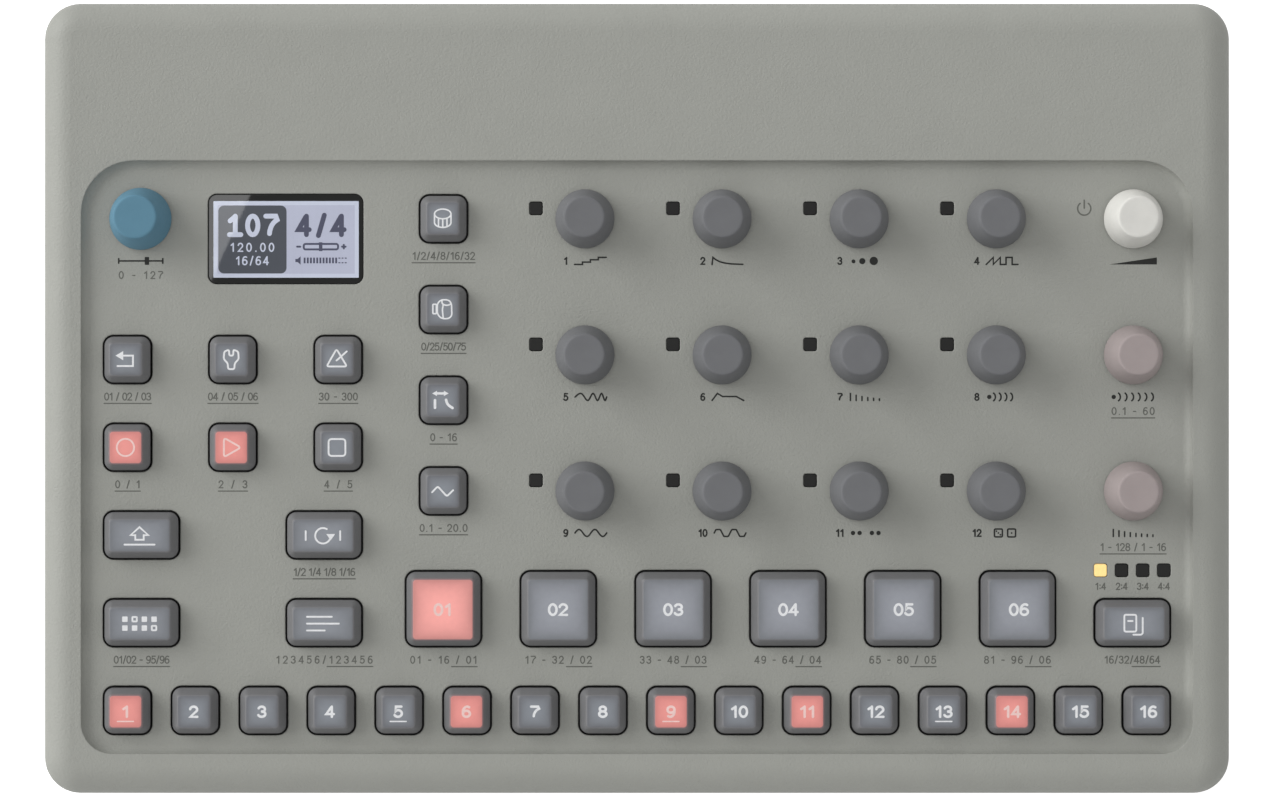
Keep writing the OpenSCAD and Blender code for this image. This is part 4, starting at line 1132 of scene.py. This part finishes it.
class DRUM_OT_knobs(Operator):
    """Makes the knob caps and their shafts"""

    bl_idname = "drum_machine.knobs"
    bl_label = "Knobs"

    def execute(self, context):
        settings = context.scene.drum_knobs
        finishes = {
            kind: plastic("knob_plastic_" + kind, getattr(settings, kind), roughness=0.6, patch_mm=3.5, grain_mm=0.2,
                          grain_depth=0.012, specular=0.12)
            for kind in ("grey", "white", "pink", "blue")
        }
        steel = metal("shaft_steel", (0.56, 0.56, 0.57), 0.32, (4.0, 4.0, 0.15))
        for name in KNOBS:
            kind = KNOB_KINDS.get(name, "grey")
            low, high = BOXES[name]
            cap = self.cap_surface(name, settings)
            make_piece(name + "_cap", cap, finishes[kind], name, [name])
            shaft = over(name, self.shaft_surface(low[2], high[2] - CAP_T - SEAT))
            make_piece(name + "_shaft", shaft, steel, name, [name])
        return {"FINISHED"}

    def cap_surface(self, name, settings):
        """Knob cap turned from one profile, which runs from the shaft's bore round the hub, the hollow and the
        tapered side to the dished top."""
        low, high = BOXES[name]
        foot_r = (high[0] - low[0]) / 2
        top_r = DATA_KNOB_TOP_R if name == "data_knob" else KNOB_TOP_R
        foot, top = PANEL_Z + KNOB_LIFT, high[2]
        hollow = foot + HOLLOW_SHARE * (top - foot)
        bore = SHAFT_R + SHAFT_GAP
        hub, wall = bore + HUB_WALL, foot_r - KNOB_WALL
        outer = rounded([
            (wall, foot), (foot_r, foot), (top_r + 0.15, top), (top_r - 1.2, top),
        ], [0.3, settings.soft_edge], 6)[:-1]
        share = np.array([1, 0.85, 0.65, 0.45, 0.25, 0.1, 0.02])
        face = np.stack([(top_r - 0.6) * share, top - settings.dish * (1 - share ** 2)], 1)
        inner = np.array([
            (0.05, top - CAP_T), (bore, top - CAP_T), (bore, foot), (hub, foot), (hub, hollow), (wall, hollow),
            (wall, foot),
        ])
        return over(name, lathe(np.vstack([inner, outer[1:], face])))

    def shaft_surface(self, low, high):
        """Turned rod with a chamfer at each end."""
        return lathe([
            (SHAFT_R - 0.4, low), (SHAFT_R, low + 0.4), (SHAFT_R, high - 0.4), (SHAFT_R - 0.4, high),
        ], 40)


class DRUM_OT_panel_print(Operator):
    """Prints the signs and numbers on the panel and on the rear wall"""

    bl_idname = "drum_machine.panel_print"
    bl_label = "Panel print"

    def execute(self, context):
        settings = context.scene.drum_print
        dark = ink("dark_panel_ink", settings.dark)
        grey = ink("grey_panel_ink", settings.grey)
        first, second = self.knob_signs(settings)
        second += self.key_ranges(settings)
        second += self.page_figures(settings)
        x, y = POWER_SIGN_XY
        power = [("line", arc(x, y, 1.5, 1.5, 128, 412, 26)), ("line", [(x, y + 0.1), (x, y + 1.9)])]
        for name, signs, stroke, cover in (
            ("panel_print_dark", first, settings.stroke, dark),
            ("panel_print_grey", second, settings.thin_stroke, grey),
            ("power_sign", power, 0.34, grey),
        ):
            make_piece(name, drawn(signs, stroke, PANEL_Z - PRINT_DEPTH, PANEL_Z + PRINT_T), cover)
        rear = drawn(self.rear_signs(), settings.stroke, -PRINT_DEPTH, 0.001, 0.0005)
        make_piece("rear_print", placed(rear, (0, REAR_Y, 0), (-1, 0, 0), (0, 0, 1)), dark)
        return {"FINISHED"}

    def knob_signs(self, settings):
        """Dark signs below the knobs, which show what the knob changes, and the grey ranges of some of them."""
        first, second = [], []
        for i, sign in enumerate(KNOB_SIGNS):
            x, y = middle(f"param_knob_{i + 1}")
            digits, width = figures(str(i + 1), settings.height, settings.stroke, 0.12)
            whole = width + SIGN_GAP + SIGN_W
            first += shifted(digits, x - whole / 2 + width / 2, y - KNOB_DROP)
            first += shifted(sign, x + whole / 2 - SIGN_W / 2, y - KNOB_DROP)
        for name, sign in SPECIAL_SIGNS.items():
            x, y = middle(name)
            first += shifted(sign, x, y - KNOB_DROP)
        for name, (text, width) in KNOB_RANGES.items():
            x, y = middle(name)
            digits, width = fitted(text, width, settings.height, settings.thin_stroke)
            line = [] if name == "data_knob" else underline(width)
            second += shifted(digits + line, x, y - SECOND_DROP)
        return first, second

    def key_ranges(self, settings):
        """Grey number ranges below the keys, spread to the width that the table gives and underlined."""
        signs = []
        for name, (text, width) in KEY_RANGES.items():
            x, y = middle(name)
            drop = PAD_DROP if name in PADS else KEY_DROP
            digits, width = fitted(text, width, settings.height, settings.thin_stroke)
            signs += shifted(digits + underline(width, UNDERLINED.get(name, 1.0)), x, y - drop)
        return signs

    def page_figures(self, settings):
        """The four page numbers, 1:4 to 4:4, under their lights."""
        signs = []
        for i, (x, y) in enumerate(page_light_places()):
            signs += shifted(figures(f"{i + 1}:4", 1.7, settings.thin_stroke, 0.1)[0], x, y - PAGE_DROP)
        return signs

    def rear_signs(self):
        """Signs above the rear openings, with x to the left of the machine seen from the front."""
        signs = []
        for name, sign in REAR_SIGNS.items():
            x = middle(name)[0] if name in BOXES else socket_x(name)
            signs += shifted(sign, -x, REAR_SIGN_Z)
        return signs


def in_rear_wall(surface, x):
    """Places a socket's surface, whose z runs rearwards from the sockets' mouths."""
    return placed(surface, (x, SOCKET_MOUTH_Y, SOCKET_Z), (-1, 0, 0), (0, 0, 1))


def four_corners(x, y):
    return [(side_x * x, side_y * y) for side_x in (-1, 1) for side_y in (-1, 1)]


def page_light_places():
    """Centres of the four page lights, in a row behind the page key."""
    x, y = middle("page_key")
    return [(x + (i - 1.5) * 4.8, y + 11.9) for i in range(4)]


def knob_light_places():
    """Centres of the twelve knob lights, each left of and behind its knob."""
    return [middle(f"param_knob_{i}") + [-11.1, 2.4] for i in range(1, 13)]


class DRUM_OT_display(Operator):
    """Makes the display window with its lit picture"""

    bl_idname = "drum_machine.display"
    bl_label = "Display"

    def execute(self, context):
        settings = context.scene.drum_display
        low, high = BOXES["display_window"]
        half, top = (high[:2] - low[:2]) / 2, high[2]
        inset = np.array([0, 0, SCREEN_RIM, SCREEN_RIM + 0.05])
        rings = plate_rings([*(SCREEN_HALF[0] - inset), 8], [*(SCREEN_HALF[1] - inset), 1], 0.15,
                            [top - 0.05] + [top + PRINT_T] * 4)
        paper = [(0.0, settings.rim), (0.3, settings.rim), (0.34, settings.paper)]
        block = plate(7.75, 7.72, 1.3, top - 0.02, top + 0.02)
        for name, surface, finish, stops, grid in (
            ("window_plate", plate(*half, 2.0, low[2], top, 0.12), "mask", [(0, settings.mask)], 0.0),
            ("lit_ground", placed(loft(rings, [0, 0, 0, 1, 1]), (0.1, -0.1, 0)), "lit_ground", paper, 0.12),
            ("dark_block", placed(block, (-7.55, -0.12, 0)), "dark_block", [(0, settings.block)], 0.10),
            ("light_marks", self.light_marks(top), "light_mark", [(0, settings.rim)], 0.08),
            ("dark_marks", self.dark_marks(top), "dark_mark", [(0, settings.mark)], 0.10),
        ):
            replaces = ["display_window"] if name == "window_plate" else []
            make_piece("display_" + name, over("display_window", surface),
                       self.glossy("display_" + finish, stops, grid), replaces=replaces)
        return {"FINISHED"}

    def glossy(self, name, stops, grid):
        """Lit picture under a glossy cover: zone colours and a fine grid of dots, which darkens the colour where
        |sin| of x or y is small."""
        made, tree, shader, place = new_material(name)
        apart = add_node(tree, "ShaderNodeSeparateXYZ", {"Vector": place})
        lines = []
        for axis in "XY":
            turned = maths(tree, "MULTIPLY", apart.outputs[axis], math.pi / (DOT_PITCH * MM))
            lines.append(maths(tree, "ABSOLUTE", maths(tree, "SINE", turned)))
        veil = ramp(tree, maths(tree, "MINIMUM", *lines), [(0.0, (1 - 2.5 * grid,) * 3), (0.35, (1.0,) * 3)])
        cloud = patches(tree, noise(tree, place, 6.0), *greys(0.96, 1.0))
        veiled = mixed(tree, 1.0, zone_colour(tree, stops), veil, blend_type="MULTIPLY")
        set_inputs(tree, shader, {
            "Base Color": mixed(tree, 1.0, veiled, cloud, blend_type="MULTIPLY"),
            "Roughness": 0.015,
            "Specular IOR Level": 0.2,
        })
        return made

    def light_marks(self, top):
        """Light figures on the dark block: a large number and two small values."""
        big = shifted(figures(["footed 1", "0", "7"], 5.33, 1.12, 0.26)[0], -7.6, 3.08)
        small = shifted(fitted("120.00", 11.5, 2.1, 0.32)[0], -7.6, -1.9)
        small += shifted(fitted("16/64", 7.6, 2.1, 0.32)[0], -7.6, -4.94)
        return joined([drawn(big, 1.1, top, top + 0.028), drawn(small, 0.32, top, top + 0.028)])

    def dark_marks(self, top):
        """Dark figures on the lit ground: a beat, a left-right slider and a level bar."""
        big = shifted(figures("4/4", 5.33, 1.12, 0.3)[0], 8.1, 3.08)
        slider = [
            ("loop", box_path(8.0, -1.75, 3.9, 0.62, 0.5)),
            ("fill", box_path(7.95, -1.75, 0.4, 1.0)),
            ("line", [(2.6, -1.75), (3.3, -1.75)]),
            ("line", [(12.8, -1.75), (13.6, -1.75)]),
            ("line", [(13.2, -2.15), (13.2, -1.35)]),
        ]
        level = [("fill", [(2.2, -5.25), (2.8, -5.25), (2.8, -4.55), (2.2, -4.55)]),
                 ("fill", [(2.7, -5.25), (3.4, -5.85), (3.4, -3.95), (2.7, -4.55)])]
        pitch, half_w, bar_y = 0.717, 0.215, -4.88
        level += [("fill", box_path(4.3 + pitch * i, bar_y, half_w, 0.65)) for i in range(11)]
        level += [
            ("fill", box_path(12.2 + pitch * i, bar_y + y, half_w, 0.12)) for i in range(3) for y in (-0.53, 0.53)
        ]
        strokes = ((big, 1.1), (slider, 0.45), (level, 0.2))
        return joined(drawn(marks, stroke, top, top + 0.02) for marks, stroke in strokes)


class DRUM_OT_lights(Operator):
    """Makes the lights beside the knobs and over the page numbers"""

    bl_idname = "drum_machine.lights"
    bl_label = "Lights"

    def execute(self, context):
        """Each light is a square pipe on the board with a round-edged top that ends flush with the panel."""
        settings = context.scene.drum_lights
        dark = plastic("smoked_light_plastic", settings.dark, 0.3, 0.08, 1.0, 0.15, 0.004, 0.2)
        made, tree, shader, place = new_material("lit_light_plastic")
        set_inputs(tree, shader, {
            "Base Color": patches(tree, noise(tree, place, 0.7), *shades(settings.lit, 0.06)),
            "Emission Color": (*settings.lit, 1),
            "Emission Strength": settings.glow,
        })
        add_grain(tree, shader, place, 0.15, 0.004)
        pipe = plate(LIGHT_HALF, LIGHT_HALF, 0.5, BOARD_Z + CASE_LIFT, PANEL_Z + 0.02, 0.12)
        pages = page_light_places()
        make_board_piece("knob_lights", at_each(pipe, knob_light_places()), dark)
        make_board_piece("page_lights", at_each(pipe, pages[1:]), dark)
        make_board_piece("page_light_lit", at_each(pipe, pages[:1]), made)
        return {"FINISHED"}


class DRUM_OT_inside(Operator):
    """Makes the boards with their parts, the sockets' contacts, the feet and the screws"""

    bl_idname = "drum_machine.inside"
    bl_label = "Boards, sockets, feet and screws"

    def execute(self, context):
        self.make_boards(context.scene.drum_inside)
        self.make_sockets()
        self.make_power_button()
        self.make_feet_and_screws()
        return {"FINISHED"}

    def make_boards(self, settings):
        """The two boards and what stands on them."""
        low, high = BOXES["circuit_board"]
        boards = []
        for front, rear, top in ((low[1], MAIN_BOARD_REAR, BOARD_Z), (JACK_BOARD_FRONT, high[1], JACK_BOARD_Z)):
            board = plate(high[0], (rear - front) / 2, 1.0, top - BOARD_T, top, 0.1)
            boards.append(placed(board, (0, (rear + front) / 2, 0)))
        make_board_piece("boards", joined(boards), self.board_finish(settings))

        steel = metal("stamped_steel", (0.5, 0.5, 0.5), 0.35)
        black = plastic("black_part_plastic", screen_colour(30, 30, 32), 0.45, 0.1, 2.0, 0.2, 0.01)
        foot, floor = BOARD_Z + CASE_LIFT, BOARD_Z + CASE_FLOOR
        half, top, bore, mouth = ENCODER_HALF, BOARD_Z + ENCODER_H, SHAFT_R + SHAFT_GAP, PANEL_Z - SEAT
        encoder = post([
            (half, 0.5, foot), (half, 0.5, top - 0.3), (half - 0.3, 0.5, top), (BUSH_R, BUSH_R, top),
            (BUSH_R, BUSH_R, mouth - 0.2), (BUSH_R - 0.2, BUSH_R - 0.2, mouth), (bore, bore, mouth),
            (bore, bore, floor), (0.2, 0.2, floor),
        ])
        make_board_piece("encoder_cases", at_each(encoder, map(middle, KNOBS)), steel)
        half, top, hole = SWITCH_HALF, BOARD_Z + SWITCH_H, PLUNGER_R + PLUNGER_GAP
        switch = post([
            (half, 0.4, foot), (half, 0.4, top - 0.3), (half - 0.3, 0.4, top), (hole, hole, top),
            (hole, hole, floor), (0.2, 0.2, floor),
        ])
        make_board_piece("key_switches", at_each(switch, map(middle, KEYS)), black)
        glass = PANEL_Z - PANEL_T - SEAT
        module = [plate(17.3, 9.9, 0.4, foot, glass - 2.6, 0.1), plate(18.8, 11.4, 0.6, glass - 2.6, glass, 0.25)]
        make_board_piece("display_module", over("display_window", joined(module)), black)
        under = BOARD_Z - BOARD_T
        top = under - CASE_LIFT
        parts = [placed(plate(w, w, 0.3, under - CHIP_T, top, 0.15), (x, y, 0)) for x, y, w in CHIPS]
        parts.append(placed(plate(20, 2, 0.3, JACK_BOARD_Z + CASE_LIFT, top, 0.1), (*CONNECTOR_XY, 0)))
        make_board_piece("chips_and_connector", joined(parts + [self.power_switch_surface()]), black)

    def power_switch_surface(self):
        """Case on the jack board with a blind bore for the power button's plunger."""
        tip = BOXES["power_button"][0][1] - SOCKET_MOUTH_Y
        half, hole, mouth, floor, back = 4.0, PLUNGER_R + PLUNGER_GAP, tip + 2.0, tip - 1.8, tip - 5.0
        low = JACK_BOARD_Z + CASE_LIFT - SOCKET_Z
        rings = plate_rings([half, half, hole, hole, 0.2], [(half - low) / 2] * 2 + [hole, hole, 0.2],
                            [0.3, 0.3, hole, hole, 0.2], [back, mouth, mouth, floor, floor])
        rings[:2, :, 1] += (half + low) / 2
        return in_rear_wall(loft(rings), middle("power_button")[0])

    def board_finish(self, settings):
        """Solder resist over copper tracks: a raised, lighter green wherever a brick pattern's joints lie."""
        made, tree, shader, place = new_material("solder_resist")
        joints = add_node(tree, "ShaderNodeTexBrick", {
            "Vector": place, "Scale": 1 / (9 * MM), "Mortar Size": 0.035, "Brick Width": 0.7, "Row Height": 0.12,
        }).outputs["Fac"]
        colours = [(0.0, settings.resist), (1.0, settings.copper)]
        set_inputs(tree, shader, {"Base Color": ramp(tree, joints, colours), "Roughness": 0.35})
        add_bump(tree, shader, joints, 0.03)
        return made

    def make_sockets(self):
        """Black socket bodies from the frame, with a bright contact sleeve in each bore."""
        paint_node("rear_sockets", plastic("socket_plastic", screen_colour(34, 34, 35), 0.4, 0.08, 3.0, 0.2, 0.012))
        sleeves = []
        for name, mount in SOCKETS.items():
            if mount["kind"] != "bore":
                continue
            outer, depth = mount["dims"]["r_mm"] - 0.01, mount["dims"]["length_mm"]
            radii = [outer, outer, outer - 0.12, outer - 0.12]
            rings = plate_rings(radii, radii, radii, [-depth + 0.5, -0.8, -0.8, -depth + 0.5], 9)
            sleeves.append(in_rear_wall(loft(rings, closed=True), socket_x(name)))
        pin = lathe([(0.95, -8.9), (0.95, -2.2), (0.75, -1.6), (0.3, -1.3)], 24)
        sleeves.append(in_rear_wall(pin, socket_x("dc_inlet")))
        shell = loft(plate_rings([4.4, 4.4, 4.25, 4.25], [1.55, 1.55, 1.4, 1.4], [1.5, 1.5, 1.35, 1.35],
                                 [-6.5, -0.05, -0.05, -6.5]), closed=True)
        sleeves.append(in_rear_wall(shell, socket_x("usb_port")))
        make_piece("socket_contacts", joined(sleeves), metal("contact_metal", (0.72, 0.70, 0.66), 0.2))
        tongue = in_rear_wall(plate(3.1, 0.35, 0.2, -6.9, -1.6, 0.12), socket_x("usb_port"))
        make_piece("usb_tongue", tongue, plastic("tongue_plastic", screen_colour(20, 20, 20), 0.4, 0.1, 1.0))

    def make_power_button(self):
        """Power button turned from one profile: plunger, flange behind the wall, and a crowned face with a ring."""
        low, high = BOXES["power_button"]
        face = high[1] - SOCKET_MOUTH_Y
        flange_r = (high[0] - low[0]) / 2
        radius = flange_r - FLANGE_REACH
        flange = REAR_Y - WALL - SEAT - SOCKET_MOUTH_Y
        tip = low[1] - SOCKET_MOUTH_Y
        ring = ((0, 0.4), (0.12, 0.12), (0.4, 0.02), (0.9, 0), (1.0, 0.15), (1.2, 0.15), (1.3, 0))
        button = lathe([
            (PLUNGER_R - 0.2, tip), (PLUNGER_R, tip + 0.2), (PLUNGER_R, flange - FLANGE_T),
            (flange_r, flange - FLANGE_T), (flange_r, flange), (radius, flange),
            *((radius - inset, face - drop) for inset, drop in ring), (0.5, face),
        ], 48)
        dark = plastic("power_button_plastic", screen_colour(44, 44, 45), 0.42, 0.08, 1.5, 0.2, 0.01)
        cap = in_rear_wall(button, middle("power_button")[0])
        make_piece("power_button_cap", cap, dark, "power_button", ["power_button"])

    def make_feet_and_screws(self):
        """Rubber feet with a dished sole, and screws with a cross recess. The recess's outline is the greater of the
        distances to the edges of its two crossing arms."""
        rubber = plastic("foot_rubber", screen_colour(32, 32, 33), 0.75, 0.12, 2.0, 0.25, 0.02, 0.25)
        foot = lathe([
            (0.5, 0.35), (3.6, 0.3), (4.3, 0.0), (5.3, 0.0), (5.8, 0.4), (6.0, 0.9), (6.0, 3.0), (0.5, 3.0),
        ], 48)
        make_piece("rubber_feet", at_each(foot, four_corners(*FOOT_XY)), rubber,
                   replaces=["feet_and_screws"])
        turn = np.arange(96) / 96 * 2 * math.pi
        c, s = np.abs(np.cos(turn)), np.abs(np.sin(turn))
        arm, slot = 1.87, 0.45
        with np.errstate(divide="ignore"):
            cross = np.maximum(np.minimum(arm / c, slot / s), np.minimum(arm / s, slot / c))
        rings = np.stack([
            np.stack([radius * np.cos(turn), -radius * np.sin(turn), np.full_like(turn, z)], -1)
            for radius, z in (
                (0.6 * cross, 3.6), (cross, 2.6), (2.5, 2.6), (2.8, 2.9), (2.8, 4.6), (1.5, 4.6), (1.5, 13.2),
                (1.1, 13.6),
            )
        ])
        places = four_corners(*CORNER_SCREW_XY) + [(0, y) for y in MIDDLE_SCREW_Y]
        zinc = metal("black_zinc", (0.12, 0.12, 0.125), 0.38)
        make_piece("housing_screws", at_each(loft(rings[:, ::-1]), places), zinc,
                   replaces=["feet_and_screws"])


# ---- Panel and registration ----

class DRUM_PT_sidebar(Panel):
    """Lists the pieces of the drum machine"""

    bl_label = "Drum machine"
    bl_idname = "DRUM_PT_sidebar"
    bl_space_type = "VIEW_3D"
    bl_region_type = "UI"
    bl_category = "Drum machine"

    def draw(self, context):
        for operator, name, _ in PIECES:
            box = self.layout.box()
            box.operator(operator.bl_idname)
            group = getattr(context.scene, name)
            for setting in group.__annotations__:
                box.prop(group, setting)


PIECES = [
    (DRUM_OT_stage, "drum_stage", StageSettings),
    (DRUM_OT_housing, "drum_housing", HousingSettings),
    (DRUM_OT_keys, "drum_keys", KeySettings),
    (DRUM_OT_knobs, "drum_knobs", KnobSettings),
    (DRUM_OT_panel_print, "drum_print", PrintSettings),
    (DRUM_OT_display, "drum_display", DisplaySettings),
    (DRUM_OT_lights, "drum_lights", LightSettings),
    (DRUM_OT_inside, "drum_inside", InsideSettings),
]


def register():
    for operator, name, group in PIECES:
        bpy.utils.register_class(group)
        setattr(bpy.types.Scene, name, PointerProperty(type=group))
        bpy.utils.register_class(operator)
    bpy.utils.register_class(DRUM_PT_sidebar)


def unregister():
    bpy.utils.unregister_class(DRUM_PT_sidebar)
    for operator, name, group in reversed(PIECES):
        bpy.utils.unregister_class(operator)
        delattr(bpy.types.Scene, name)
        bpy.utils.unregister_class(group)


def main():
    """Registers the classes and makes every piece."""
    register()
    for operator, *_ in PIECES:
        module, name = operator.bl_idname.split(".")
        getattr(getattr(bpy.ops, module), name)()


if __name__ == "__main__":
    main()
